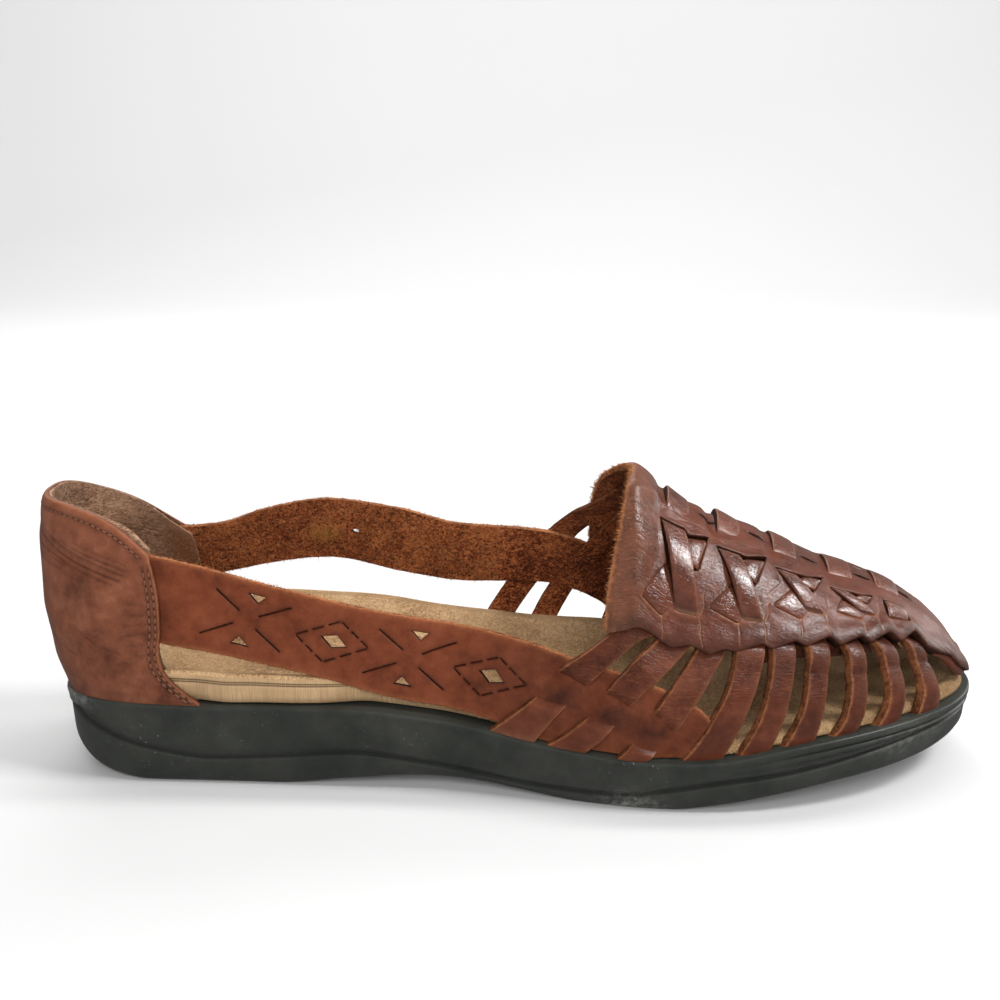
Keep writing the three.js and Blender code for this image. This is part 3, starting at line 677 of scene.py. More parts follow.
def panel(shape, loops, place, relief, rims, thick, cell, seed, engraved=(), marks=()):
    """Leather panel cut from a flat pattern: the first loop is its outline and the others are holes.

    place(flat, lift) gives points, and relief(flat, gap, loop) gives the lift of the face and its values.
    Rims are the kinds of the cut edges. Engraved loops are cut into the face only. Marks are creases that
    need close points.
    """
    holes_end = len(loops)
    loops = [turned(resample(loop), left=(k == 0)) for k, loop in enumerate([*loops, *engraved])]
    starts = np.concatenate(loops)
    ends = np.concatenate([np.roll(loop, -1, 0) for loop in loops])
    owner = np.concatenate([np.full(len(loop), k) for k, loop in enumerate(loops)])
    cut_through = owner < holes_end
    points = np.concatenate([starts, *field_points(loops, starts, ends, cell, marks)])
    edges = []
    first = 0
    for loop in loops:
        count = len(loop)
        edges += [(first + k, first + (k + 1) % count) for k in range(count)]
        first += count
    found = delaunay_2d_cdt([Vector(p) for p in points.tolist()], edges, [], 0, 1e-6)
    flat = np.array([(p.x, p.y) for p in found[0]])
    faces = np.array([tuple(f) for f in found[2]])
    middles = flat[faces].mean(1)
    solid = inside_loops(middles, starts[cut_through], ends[cut_through])
    sunk = np.zeros(len(faces), bool)
    if len(engraved):
        sunk = solid & inside_loops(middles, starts[~cut_through], ends[~cut_through])
    number = np.zeros(len(points), int)
    for k, sources in enumerate(found[3]):
        number[list(sources)] = k
    gap, nearest = line_distance(flat, starts, ends)
    lift, values = relief(flat, gap, owner[nearest])
    spread = raised(flat, np.zeros(len(flat)))
    stains = values.pop("stains", {"dark": 0.5 * values.get("dark", np.zeros(len(flat)))})
    top = shape.add(place(flat, lift - round_over(gap)), spread, **values)
    under = shape.add(place(flat, np.minimum(lift, 0) * 0.6 - thick), spread, **stains)
    # The floor and walls of an engraved line are near-black, painted shade in the groove
    floor_at = shape.add(place(flat, lift - ENGRAVED_DEPTH), spread, dark=1.0)
    shape.face(faces[solid & ~sunk] + top, FACE)
    shape.face(faces[solid][:, ::-1] + under, FLESH)
    if sunk.any():
        shape.face(faces[sunk] + floor_at, DARK)
    chance = np.random.default_rng(seed)
    first = 0
    for k, loop in enumerate(loops):
        count = len(loop)
        ids = number[first:first + count]
        first += count
        if k >= holes_end:
            shape.face(grid_faces(np.stack([ids + top, ids + floor_at]), closed=True), DARK)
            continue
        rim = rims[k](loop) if callable(rims[k]) else np.full(count, rims[k])
        fray = (0.08 + 0.3 * chance.random(count) ** 2) * (rim == RAW)
        middle = loop - into_material(loop) * fray[:, None]
        between = lift[ids] * 0.8 - 0.45 * thick
        side = shape.add(place(middle, between), raised(middle, np.zeros(count)))
        walls = np.stack([ids + top, side + np.arange(count), ids + under], 0)
        shape.face(grid_faces(walls, closed=True), np.tile(rim, 2))


PAD_STEPS = np.array([0, 0.02, 0.06, 0.13, 0.22, 0.34, 0.5, 0.66, 0.78, 0.87, 0.94, 0.98, 1])


def pad(shape, corners, base, medial, thick, size, kind=FACE, edge=0.3):
    """Small leather pad between four corners given as x and angle, its border rounded over."""
    s, t = np.meshgrid(PAD_STEPS, PAD_STEPS)
    weights = np.stack([(1 - s) * (1 - t), s * (1 - t), s * t, (1 - s) * t], -1)
    at = weights @ np.array(corners, float)
    x, angle = at[..., 0], on_side(at[..., 1], medial)
    gap = np.minimum(np.minimum(s, 1 - s), np.minimum(t, 1 - t)) * size
    lift = base(s, t)
    flat = np.stack([x, at[..., 1] * 0.8, 0 * s], -1)
    top = shape.grid(lifted(x, angle, lift - round_over(gap)), flat, edge=edge * fade(gap, 0.4), crease=0.3)
    under = shape.grid(lifted(x, angle, np.minimum(lift - 0.4, -thick)), flat)
    shape.face(grid_faces(top), kind)
    shape.face(grid_faces(under)[:, ::-1], FLESH)
    borders = []
    for ids in (top, under):
        borders.append(np.concatenate([ids[0, :-1], ids[:-1, -1], ids[-1, :0:-1], ids[:0:-1, 0]]))
    # The sides of the pad are near-black, painted shade in the gap round it
    shape.face(grid_faces(np.stack(borders), closed=True), DARK)


def fibres(shape, roots, aims, lengths, width, seed):
    """Loose leather fibres: thin bent spikes that grow from roots along aims."""
    chance = np.random.default_rng(seed)
    count = len(roots)
    aims = unit(aims) + chance.normal(0, 0.45, (count, 3))
    side = unit(np.cross(aims, chance.normal(0, 1, (count, 3)))) * width
    other = unit(np.cross(aims, side)) * width
    bend = chance.normal(0, 0.3, (count, 3))
    middle = roots + (aims + 0.4 * bend) * lengths[:, None] * 0.5
    tip = roots + (aims + bend) * lengths[:, None]
    points = np.stack([
        roots + side, roots - 0.5 * side + 0.87 * other, roots - 0.5 * side - 0.87 * other,
        middle + 0.6 * side, middle - 0.3 * side + 0.5 * other, middle - 0.3 * side - 0.5 * other, tip,
    ], 1)
    at = shape.grid(points, pale=np.repeat(chance.random(count), 7))[:, :1]
    for a, b in ((0, 1), (1, 2), (2, 0)):
        shape.face(np.concatenate([at + a, at + b, at + 3 + b, at + 3 + a], 1), FACE)
        shape.face(np.concatenate([at + 3 + a, at + 3 + b, at + 6], 1), FACE)
    shape.face(np.concatenate([at, at + 2, at + 1], 1), FACE)


# Materials
class Look:
    """One procedural material under construction."""

    def __init__(self, name):
        self.material = bpy.data.materials.new(name)
        self.material.use_nodes = True
        self.tree = self.material.node_tree
        self.shader = self.tree.nodes["Principled BSDF"]
        self.space = self.tree.nodes.new("ShaderNodeTexCoord").outputs["Object"]

    def link(self, source, target):
        if isinstance(source, bpy.types.NodeSocket):
            self.tree.links.new(source, target)
        else:
            target.default_value = source

    def node(self, kind, output, **inputs):
        """Adds a node, sets or links its inputs and gives one of its outputs."""
        node = self.tree.nodes.new("ShaderNode" + kind)
        for name, source in inputs.items():
            self.link(source, node.inputs[name.replace("_", " ")])
        return node.outputs[output]

    def attribute(self, name, output):
        node = self.tree.nodes.new("ShaderNodeAttribute")
        node.attribute_name = name
        return node.outputs[output]

    def value(self, name):
        return self.attribute(name, "Fac")

    def flat(self, scale):
        return self.node("Mapping", "Vector", Vector=self.attribute("flat", "Vector"), Scale=scale)

    def noise(self, scale, detail, rough, space=None, warp=0.0):
        return self.node("TexNoise", "Fac", Vector=self.space if space is None else space,
                         Scale=scale, Detail=detail, Roughness=rough, Distortion=warp)

    def cells(self, scale):
        node = self.tree.nodes.new("ShaderNodeTexVoronoi")
        node.feature = "SMOOTH_F1"
        self.link(scale, node.inputs["Scale"])
        self.link(self.space, node.inputs["Vector"])
        return node.outputs["Distance"]

    def range(self, source, low, high, to_low=0.0, to_high=1.0):
        return self.node("MapRange", "Result", Value=source, From_Min=low, From_Max=high,
                         To_Min=to_low, To_Max=to_high)

    def math(self, kind, a, b):
        node = self.tree.nodes.new("ShaderNodeMath")
        node.operation = kind
        self.link(a, node.inputs[0])
        self.link(b, node.inputs[1])
        return node.outputs[0]

    def times(self, a, b):
        return self.math("MULTIPLY", a, b)

    def weigh(self, a, part, b, rest):
        return self.math("ADD", self.times(a, part), self.times(b, rest))

    def mix(self, share, a, b):
        node = self.tree.nodes.new("ShaderNodeMix")
        node.data_type = "RGBA"
        self.link(share, node.inputs["Factor"])
        sockets = [s for s in node.inputs if s.type == "RGBA"]
        for source, socket in zip((a, b), sockets):
            self.link(source if isinstance(source, bpy.types.NodeSocket) else (*source, 1.0), socket)
        return [s for s in node.outputs if s.type == "RGBA"][0]

    def bump(self, height, depth, strength, **under):
        return self.node("Bump", "Normal", Distance=depth, Strength=strength, Height=height, **under)

    def done(self, color, rough, normal, **settings):
        self.link(color, self.shader.inputs["Base Color"])
        self.link(rough, self.shader.inputs["Roughness"])
        self.link(normal, self.shader.inputs["Normal"])
        for name, value in settings.items():
            self.shader.inputs[name.replace("_", " ")].default_value = value
        return self.material


TAN = (0.34, 0.125, 0.05)
BURNISH_AND_SHADE = (0.022, 0.008, 0.006)
RUBBED = (0.45, 0.24, 0.13)


def leather(name, deep, middle, light, rough, shine, creases):
    """Waxed leather: clouded colour, fine grain, cross creases, worn borders, and darkening that is partly
    burnished places and partly painted shade.
    """
    look = Look(name)
    clouds = look.noise(38, 5, 0.6)
    mottle = look.noise(260, 5, 0.6)
    pores = look.noise(2600, 3, 0.6)
    wear = look.noise(900, 4, 0.7)
    lines = look.noise(1.0, 4, 0.6, look.flat(creases), 0.6)
    tone = look.weigh(clouds, 0.58, mottle, 0.42)
    color = look.mix(look.range(tone, 0.32, 0.49), deep, middle)
    color = look.mix(look.range(tone, 0.5, 0.7), color, light)
    color = look.mix(look.range(pores, 0.54, 0.74, 0.0, 0.4), color, deep)
    color = look.mix(look.times(look.value("crease"), look.range(lines, 0.57, 0.66, 0.0, 0.32)), color, TAN)
    # Darkening by the dark value: real burnish in places, and painted shade in slits, creases and under
    # overlapping parts
    burnish_and_shade = look.times(look.value("dark"), look.range(mottle, 0.25, 0.7, 1.1, 0.6))
    color = look.mix(burnish_and_shade, color, BURNISH_AND_SHADE)
    color = look.mix(look.times(look.value("edge"), look.range(wear, 0.36, 0.56, 0.3, 1.0)), color, TAN)
    color = look.mix(look.times(look.value("pale"), look.range(pores, 0.35, 0.6, 0.5, 1.0)), color, RUBBED)
    worn = look.range(tone, 0.35, 0.65, rough - 0.07, rough + 0.1)
    worn = look.math("ADD", worn, look.times(look.value("edge"), 0.35))
    grain = look.bump(look.noise(1500, 4, 0.65), 0.0002, 0.35)
    grain = look.bump(look.cells(1000), 0.00016, 0.3, Normal=grain)
    fine_lines = look.times(look.range(lines, 0.46, 0.54), look.value("crease"))
    grain = look.bump(fine_lines, 0.00022, 0.5, Normal=grain)
    return look.done(color, worn, grain, Specular_IOR_Level=shine)


def suede(name, deep, middle, light, nap, sheen, contrast, stain):
    """Flesh side of leather: fibrous nap, matt, with stains where the points say so, and darkened to its deep
    colour where the dark value says so, partly as painted shade.
    """
    look = Look(name)
    clouds = look.noise(55, 5, 0.65)
    nap_lines = look.noise(1.0, 6, 0.75, look.flat(nap), 1.6)
    fluff = look.noise(1500, 4, 0.75)
    tone = look.weigh(clouds, 0.3, nap_lines, 0.7)
    reach = 0.14 / contrast
    color = look.mix(look.range(tone, 0.5 - reach, 0.5), deep, middle)
    color = look.mix(look.range(tone, 0.5, 0.5 + reach), color, light)
    color = look.mix(look.range(fluff, 0.52, 0.68, 0.0, 0.3 * contrast), color, light)
    color = look.mix(look.range(fluff, 0.48, 0.34, 0.0, 0.3 * contrast), color, deep)
    color = look.mix(look.times(look.value("stain"), look.range(fluff, 0.35, 0.6)), color, stain)
    # Painted shade, and in places real soil, where the dark value says so
    color = look.mix(look.times(look.value("dark"), look.range(nap_lines, 0.3, 0.6, 0.9, 0.4)), color, deep)
    color = look.mix(look.times(look.value("pale"), look.range(fluff, 0.3, 0.6)), color, light)
    normal = look.bump(nap_lines, 0.0009, 0.7)
    normal = look.bump(fluff, 0.0005, 0.8, Normal=normal)
    return look.done(color, 0.95, normal, Sheen_Weight=sheen, Sheen_Roughness=0.5, Specular_IOR_Level=0.1)


def raw_edge(name, deep, light):
    """Cut edge of leather: pale, fibrous and matt."""
    look = Look(name)
    fibre = look.noise(900, 4, 0.7, warp=1.0)
    share = look.weigh(fibre, 0.6, look.noise(160, 3, 0.6), 0.4)
    color = look.mix(look.range(share, 0.38, 0.62), deep, light)
    return look.done(color, 0.85, look.bump(fibre, 0.0004, 0.7), Specular_IOR_Level=0.2)


def ribbed_fabric(name):
    """Cover of the footbed's edge: tan cloth with fine upright ribs and a dark line near its top; the dark
    line and the darkening towards the front are painted shade.
    """
    look = Look(name)
    ribs = look.noise(1.0, 2, 0.5, look.flat((2.6, 0.1, 1.0)))
    threads = look.noise(2200, 3, 0.6)
    soil = look.noise(90, 4, 0.6)
    color = look.mix(look.range(ribs, 0.35, 0.65), (0.365, 0.235, 0.125), (0.46, 0.31, 0.175))
    color = look.mix(look.range(soil, 0.4, 0.7, 0.0, 0.55), color, (0.27, 0.17, 0.085))
    color = look.mix(look.value("pale"), color, (0.15, 0.09, 0.05))
    # Painted shade in the grooves near the top and where the edge runs in under the front
    color = look.mix(look.value("dark"), color, (0.035, 0.025, 0.016))
    normal = look.bump(ribs, 0.0004, 0.35)
    normal = look.bump(threads, 0.0003, 0.4, Normal=normal)
    return look.done(color, 0.9, normal, Specular_IOR_Level=0.2)


def rubber(name):
    """Dark grey-green moulded rubber with dust, pale specks and scuffs, and painted shade where the dark
    value says so.
    """
    look = Look(name)
    clouds = look.noise(60, 5, 0.6)
    dust = look.noise(420, 5, 0.7)
    specks = look.range(look.noise(1300, 2, 0.5), 0.65, 0.7)
    strewn = look.times(look.value("pale"), look.range(look.noise(310, 3, 0.6), 0.52, 0.58))
    film = look.times(look.value("stain"), look.range(dust, 0.42, 0.62))
    color = look.mix(look.range(clouds, 0.35, 0.65), (0.021, 0.023, 0.0195), (0.037, 0.039, 0.0335))
    color = look.mix(look.range(dust, 0.6, 0.8, 0.0, 0.35), color, (0.08, 0.084, 0.075))
    color = look.mix(look.times(specks, strewn), color, (0.38, 0.38, 0.36))
    color = look.mix(film, color, (0.3, 0.3, 0.28))
    # Painted shade in the grooves of the wall
    color = look.mix(look.value("dark"), color, (0.008, 0.009, 0.008))
    rough = look.range(clouds, 0.3, 0.7, 0.32, 0.46)
    return look.done(color, rough, look.bump(look.noise(900, 4, 0.6), 0.0002, 0.35), Specular_IOR_Level=0.3)


def plain(name, color, rough):
    look = Look(name)
    fine = look.noise(2500, 3, 0.6)
    shade = tuple(0.6 * c for c in color)
    color = look.mix(look.range(fine, 0.35, 0.65), shade, color)
    return look.done(color, rough, look.bump(fine, 0.0002, 0.5))


saddle = leather("saddle_leather", (0.07, 0.016, 0.0062), (0.15, 0.0365, 0.0142), (0.215, 0.06, 0.0255),
                 rough=0.47, shine=0.2, creases=(0.5, 1.6, 1.0))
counter_look = leather("counter_leather", (0.06, 0.0178, 0.0082), (0.16, 0.0505, 0.025),
                       (0.265, 0.098, 0.053), rough=0.46, shine=0.24, creases=(0.5, 1.6, 1.0))
strip_look = leather("strip_leather", (0.03, 0.0072, 0.0032), (0.092, 0.0222, 0.0092), (0.165, 0.046, 0.0205),
                     rough=0.3, shine=0.38, creases=(0.4, 1.5, 1.0))
weave = leather("weave_leather", (0.034, 0.009, 0.0046), (0.1, 0.0268, 0.0132), (0.16, 0.049, 0.0258),
                rough=0.31, shine=0.42, creases=(0.35, 1.5, 1.0))
polished = leather("polished_leather", (0.032, 0.0084, 0.0044), (0.096, 0.0258, 0.0128),
                   (0.155, 0.048, 0.0255), rough=0.21, shine=0.75, creases=(0.35, 1.5, 1.0))
flesh = suede("strap_suede", (0.042, 0.009, 0.0026), (0.2, 0.044, 0.0125), (0.46, 0.155, 0.052),
              nap=(0.66, 0.95, 1.0), sheen=0.05, contrast=2.3, stain=(0.3, 0.17, 0.025))
lining = suede("counter_lining", (0.085, 0.042, 0.022), (0.265, 0.142, 0.083), (0.46, 0.285, 0.185),
               nap=(0.35, 1.1, 1.0), sheen=0.05, contrast=1.6, stain=(0.16, 0.058, 0.021))
cut = raw_edge("cut_edge", (0.085, 0.024, 0.009), (0.4, 0.165, 0.07))
strip_cut = raw_edge("strip_cut", (0.036, 0.0105, 0.0042), (0.185, 0.066, 0.026))
# Near-black cut edge: painted shade on cut walls in slits, openings and gaps
dark_cut = raw_edge("dark_cut", (0.018, 0.006, 0.0035), (0.055, 0.017, 0.009))
bed = suede("footbed_top", (0.23, 0.135, 0.064), (0.56, 0.35, 0.178), (0.72, 0.5, 0.29),
            nap=(0.85, 0.85, 1.0), sheen=0.0, contrast=1.25, stain=(0.2, 0.125, 0.062))
fabric = ribbed_fabric("footbed_edge")
sole_rubber = rubber("sole_rubber")
thread = plain("thread", (0.19, 0.078, 0.042), 0.7)
# Needle holes: near-black beads, painted shade in the holes
needle_hole = plain("needle_hole", (0.02, 0.01, 0.007), 0.9)
fibre_look = raw_edge("loose_fibre", (0.24, 0.078, 0.027), (0.56, 0.25, 0.105))
nap_look = raw_edge("nap_fibre", (0.17, 0.045, 0.014), (0.5, 0.22, 0.085))


# Sole: rings from the floor to the rim, by level, height above it, inset and inset at the toe
SOLE_TURNS = 420
SOLE_SPINE = (26, 236)
SOLE_RINGS = [
    ("bottom", 0.0, 3.6, 3.6), ("bottom", 0.2, 2.7, 2.7), ("bottom", 0.8, 1.8, 1.8),
    ("bottom", 1.8, 1.25, 1.25), ("wave", -1.0, 0.95, 0.95), ("wave", -0.5, 1.05, 1.05),
    ("wave", -0.1, 1.7, 1.7), ("wave", 0.25, 1.95, 1.95), ("wave", 0.7, 1.6, 1.6), ("wave", 1.3, 1.0, 0.9),
    ("wave", 2.0, 0.6, 0.5), ("middle", 0.0, 0.35, 0.35), ("toe", -0.5, 0.35, 0.3), ("toe", -0.2, 0.36, 0.85),
    ("toe", 0.1, 0.36, 0.85), ("toe", 0.4, 0.35, 0.3), ("top", -3.3, 0.33, 0.4), ("top", -3.0, 0.31, 0.5),
    ("top", -2.75, 0.28, 1.1), ("top", -2.45, 0.25, 1.1), ("top", -2.15, 0.2, 0.3), ("top", -1.6, 0.08, 0.0),
    ("top", -0.9, -0.03, -0.03), ("top", -0.4, 0.05, 0.05), ("top", -0.12, 0.3, 0.3), ("top", 0.0, 0.7, 0.7),
]
FIRST_TOP_RING = 16
TOP_RIB = 3.4
RING_STEP = 0.03
RING_GAP = 0.02
TOE_GROOVE = 4.7

# Spans along x over which the taller step of the heel ends and the grooves of the toe begin
HEEL_STEP_END = (60, 112)
TOE_GROOVES_FROM = (188, 226)

# Places on the sole with pale specks and with a film of dust: x, z, reach and amount
SPECKS = [(165, 12.4, 8, 1), (28, 14, 12, 0.4), (60, 17, 12, 0.35), (100, 16, 14, 0.2), (30, 7, 10, 0.4)]
DUSTY = [(-1, 20.5, 5, 0.8), (6, 22.6, 5, 0.6), (164, 1.2, 7, 0.6), (240, 16, 12, 0.15)]
SPOT_FLATNESS = 2.2


def spots(points, rows):
    """Amount of specks or dust at each point."""
    amount = np.zeros(points.shape[:2])
    for x, z, reach, most in rows:
        gap = np.hypot(points[..., 0] - x, (points[..., 2] - z) * SPOT_FLATNESS)
        amount = np.maximum(amount, most * hill(gap, reach))
    return amount


def make_sole():
    shape = Shape()
    turn = np.linspace(-1, 1, SOLE_TURNS, endpoint=False)
    x = outline(turn)[:, 0]
    bottom = along(SOLE, "bottom", x)
    wave = along(SOLE, "wave", x)
    top = along(SOLE, "top", x)
    heel_share = 1 - blend(x, *HEEL_STEP_END)
    toe_share = blend(x, *TOE_GROOVES_FROM)
    grooves = []
    rings = []
    highest = np.zeros_like(x)
    for k, (level, above, inset, toe_inset) in enumerate(SOLE_RINGS):
        dark = np.zeros_like(x)
        inset = mix(inset, toe_inset, toe_share)
        if level == "bottom":
            z = bottom + above
        elif level == "wave":
            z = wave + above * (1 + 0.9 * heel_share * (above > 0.3))
            # The wave's groove is darkened as painted shade
            dark = dark + (0.6 if -0.3 < above < 0.6 else 0.0)
        elif level == "middle":
            z = mix(wave + 3.0, top - 4.6, 0.4)
        elif level == "toe":
            z = top - TOE_GROOVE + above
        else:
            z = top + above
            # Near the toe the groove under the top rib is darkened as painted shade
            dark = dark + (0.5 if -2.9 < above < -2.3 else 0.0) * toe_share
        if level != "top":
            z = np.minimum(z, top - TOP_RIB - RING_STEP * (FIRST_TOP_RING - k))
        z = z if k == 0 else np.maximum(z, highest + RING_GAP)
        highest = z
        rings.append(raised(outline_inset(turn, inset), z))
        grooves.append(dark)
    spine = middle_line(x, SOLE_SPINE)
    closing = []
    for share in (0.12, 0.5, 1.0):
        plan = mix(rings[0][:, :2], spine, share)
        closing.insert(0, raised(plan, along(SOLE, "bottom", plan[:, 0])))
    for share in (0.1, 0.5, 1.0):
        plan = mix(rings[-1][:, :2], spine, share)
        rings.append(raised(plan, sole_top(plan[:, 0])))
    stack = np.stack(closing + rings)
    dark = np.zeros(stack.shape[:2])
    dark[len(closing):len(closing) + len(grooves)] = np.array(grooves)
    at = shape.grid(stack, dark=dark, pale=spots(stack, SPECKS), stain=spots(stack, DUSTY))
    shape.face(grid_faces(at, closed=True), FACE)
    merge(shape.build("sole", [sole_rubber], "outsole"))


# Footbed: rings of its edge by share of the edge's height, height above that, inset, and 1 for a dark line of
# painted shade in a groove
BED_TURNS = 360
BED_SPINE = (30, 236)
BED_RINGS = [
    (0, 0.0, 1.0, 0), (0, 0.5, 0.1, 0), (0.3, 0, 0.0, 0), (0.55, 0, 0.05, 0), (0.66, 0, 0.15, 0),
    (0.7, 0, 0.45, 1), (0.74, 0, 0.15, 0), (0.78, 0, 0.45, 1), (0.82, 0, 0.15, 0), (1, -1.0, 0.4, 0),
    (1, -0.5, 0.75, 0), (1, -0.15, 1.4, 0), (1, 0.0, 2.3, 0),
]
BED_TOP_SHARES = (0.05, 0.12, 0.22, 0.34, 0.48, 0.62, 0.76, 0.88, 1.0)
EDGE_SLOPE = 1.2
FULL_EDGE = 7
FABRIC_END = 172

# Spans along x: the edge's lines end, its slope, shade and soil begin, and the top's shade and wear
LINES_END = (84, 130)
SLOPE_FROM = (165, 190)
EDGE_SHADE = (168, 176)
EDGE_SOIL = (120, 175)
TOE_SHADE = (130, 215)
HEEL_SHADE = (45, 100)
TOE_WEAR = (205, 238)


def make_footbed():
    shape = Shape()
    turn = np.linspace(-1, 1, BED_TURNS, endpoint=False)
    x = outline(turn)[:, 0]
    medial = turn < 0
    edge = np.where(medial, along(FOOTBED, "medial", x), along(FOOTBED, "lateral", x))
    inset = np.where(medial, along(FOOTBED, "medial_inset", x), along(FOOTBED, "lateral_inset", x))
    ends = np.minimum(blend(x, HEEL, 20), blend(x, TOE, 245))
    level = (along(FOOTBED, "medial", x) + along(FOOTBED, "lateral", x)) / 2
    edge = mix(level, edge, ends)
    lines_end = blend(x, *LINES_END)
    rings, darks = [], []
    for share, above, more, dark in BED_RINGS:
        groove = mix(more, 0.15, lines_end) if dark else more
        slope = EDGE_SLOPE * (1 - share) * blend(x, *SLOPE_FROM)
        plan = outline_inset(turn, inset + groove - slope)
        z = sole_top(plan[:, 0]) + GAP + share * edge + above * np.clip(edge / FULL_EDGE, 0.35, 1)
        rings.append(raised(plan, z))
        # The dark lines are painted shade in the grooves of the edge
        darks.append(0.85 * dark * (1 - lines_end))
    rim = rings[-1]
    spine = middle_line(x, BED_SPINE)
    top_rings = []
    for share in BED_TOP_SHARES:
        plan = mix(rim[:, :2], spine, share)
        low = along(FOOTBED, "lateral", plan[:, 0])
        high = along(FOOTBED, "medial", plan[:, 0])
        centre_z = sole_top(plan[:, 0]) + GAP + (low + high) / 2 - along(FOOTBED, "hollow", plan[:, 0])
        reach = share * (2 - share)
        z = mix(rim[:, 2] + sole_top(plan[:, 0]) - sole_top(rim[:, 0]), centre_z, reach)
        z = z + 0.25 * wander_2d(plan[:, 0], plan[:, 1], 3, 26) * min(1, share * 4)
        top_rings.append(raised(plan, z))
    stack = np.stack([raised(spine, sole_top(spine[:, 0]) + GAP), *rings, *top_rings])
    dark = np.zeros(stack.shape[:2])
    dark[1:1 + len(rings)] = np.array(darks) + 0.85 * blend(x, *EDGE_SHADE)
    on_top = slice(1 + len(rings), None)
    top = stack[on_top]
    patches = 0.7 + 0.3 * wander_2d(top[..., 0], top[..., 1], 5, 30)
    dark[on_top] = 0.75 * blend(top[..., 0], *TOE_SHADE) * patches
    dark[on_top] += 0.5 * (1 - blend(top[..., 0], *HEEL_SHADE))
    arc = run_of(rings[2][:, :2])
    flat = np.zeros_like(stack)
    flat[..., 0] = arc
    flat[..., 1] = stack[..., 2]
    flat[on_top] = top
    darkening = np.zeros(stack.shape[:2])
    darkening[:on_top.start] = blend(x, *EDGE_SOIL) * (0.62 + 0.25 * wander(arc, 7, 5.0))
    darkening[:, x > FABRIC_END] = 0
    worn_toe = 0.95 * blend(stack[..., 0], *TOE_WEAR)
    at = shape.grid(stack, flat, dark=np.clip(dark, 0, 1), pale=darkening, stain=worn_toe)
    covered = (np.arange(len(stack) - 1) < len(rings) - 2)[:, None] & (x < FABRIC_END)
    shape.face(grid_faces(at, closed=True), np.where(covered, 1, 0).ravel())
    piece = shape.build("footbed", [bed, fabric], "footbed")
    merge(piece)


# Vamp: its pattern is laid out by the run along the ridge and by the width of a degree beside it
VAMP_FROM = 146
VAMP_ARC = (30, 150)
GRID_X = np.linspace(VAMP_FROM, NOSE - PROBE, 1600)
RIDGE_RUN = run_of(skin(GRID_X, np.full_like(GRID_X, 90)))
SECTIONS = skin(GRID_X[:, None], np.linspace(*VAMP_ARC, 25)[None])
PER_DEGREE = np.linalg.norm(np.diff(SECTIONS, axis=1), axis=2).sum(1) / (VAMP_ARC[1] - VAMP_ARC[0])
HEAD_SLIT = 0.5
THROAT_ENDS = (29, 151)
NOSE_ENDS = (34, 146)
MEDIAL_END = (152, 28)
LIP_FROM = 248


def vamp_flat(x, angle):
    """Place in the vamp's pattern of a point on the last."""
    x = np.asarray(x, float)
    across = (np.asarray(angle) - 90) * np.interp(x, GRID_X, PER_DEGREE)
    return np.stack([np.interp(x, GRID_X, RIDGE_RUN), across], -1)


def vamp_flats(corners):
    return np.array([vamp_flat(x, angle) for x, angle in corners])


def vamp_back(flat):
    """Point on the last, as x and angle, of a place in the vamp's pattern."""
    x = np.interp(flat[:, 0], RIDGE_RUN, GRID_X)
    return x, 90 + flat[:, 1] / np.interp(x, GRID_X, PER_DEGREE)


def mirrored(corners):
    return [(x, 180 - angle) for x, angle in corners]


def crossing_window(k):
    """Outline of the opening in the vamp that one crossing of the weave fills."""
    foot, head, width, low, high = CROSSINGS[k]
    half = width / 2
    left_head, right_head = (head - half - 0.4, high + HEAD_SLIT), (head + half + 0.2, high + HEAD_SLIT)
    left_foot, right_foot = (foot - half - 0.2, low), (foot + half - 0.2, low)
    if k >= len(PADS_BEHIND):
        return [left_head, right_head, right_foot, left_foot]
    top, left, bottom, right = PADS_BEHIND[k]
    rear, front, tip = PADS_BEFORE[k]
    right_inner = (mix(foot, head, 0.45) + half - 1.3, mix(low, high, 0.45))
    right_low = (foot + half - 1.3, low + 2.5)
    return [left_head, right_head, (rear[0], rear[1] + 1), (front[0], front[1] + 1), tip, right_inner,
            right_low, right_foot, left_foot, right, bottom, left, top]


def slit(x, angle, half_length, half_width):
    """Lens-shaped slit in the vamp's pattern."""
    t = np.linspace(0, 2 * np.pi, 20, endpoint=False)
    at = vamp_flat(x, angle)
    return at + np.stack([half_length * np.cos(t), half_width * np.sin(t) * np.abs(np.sin(t)) ** 0.3], -1)


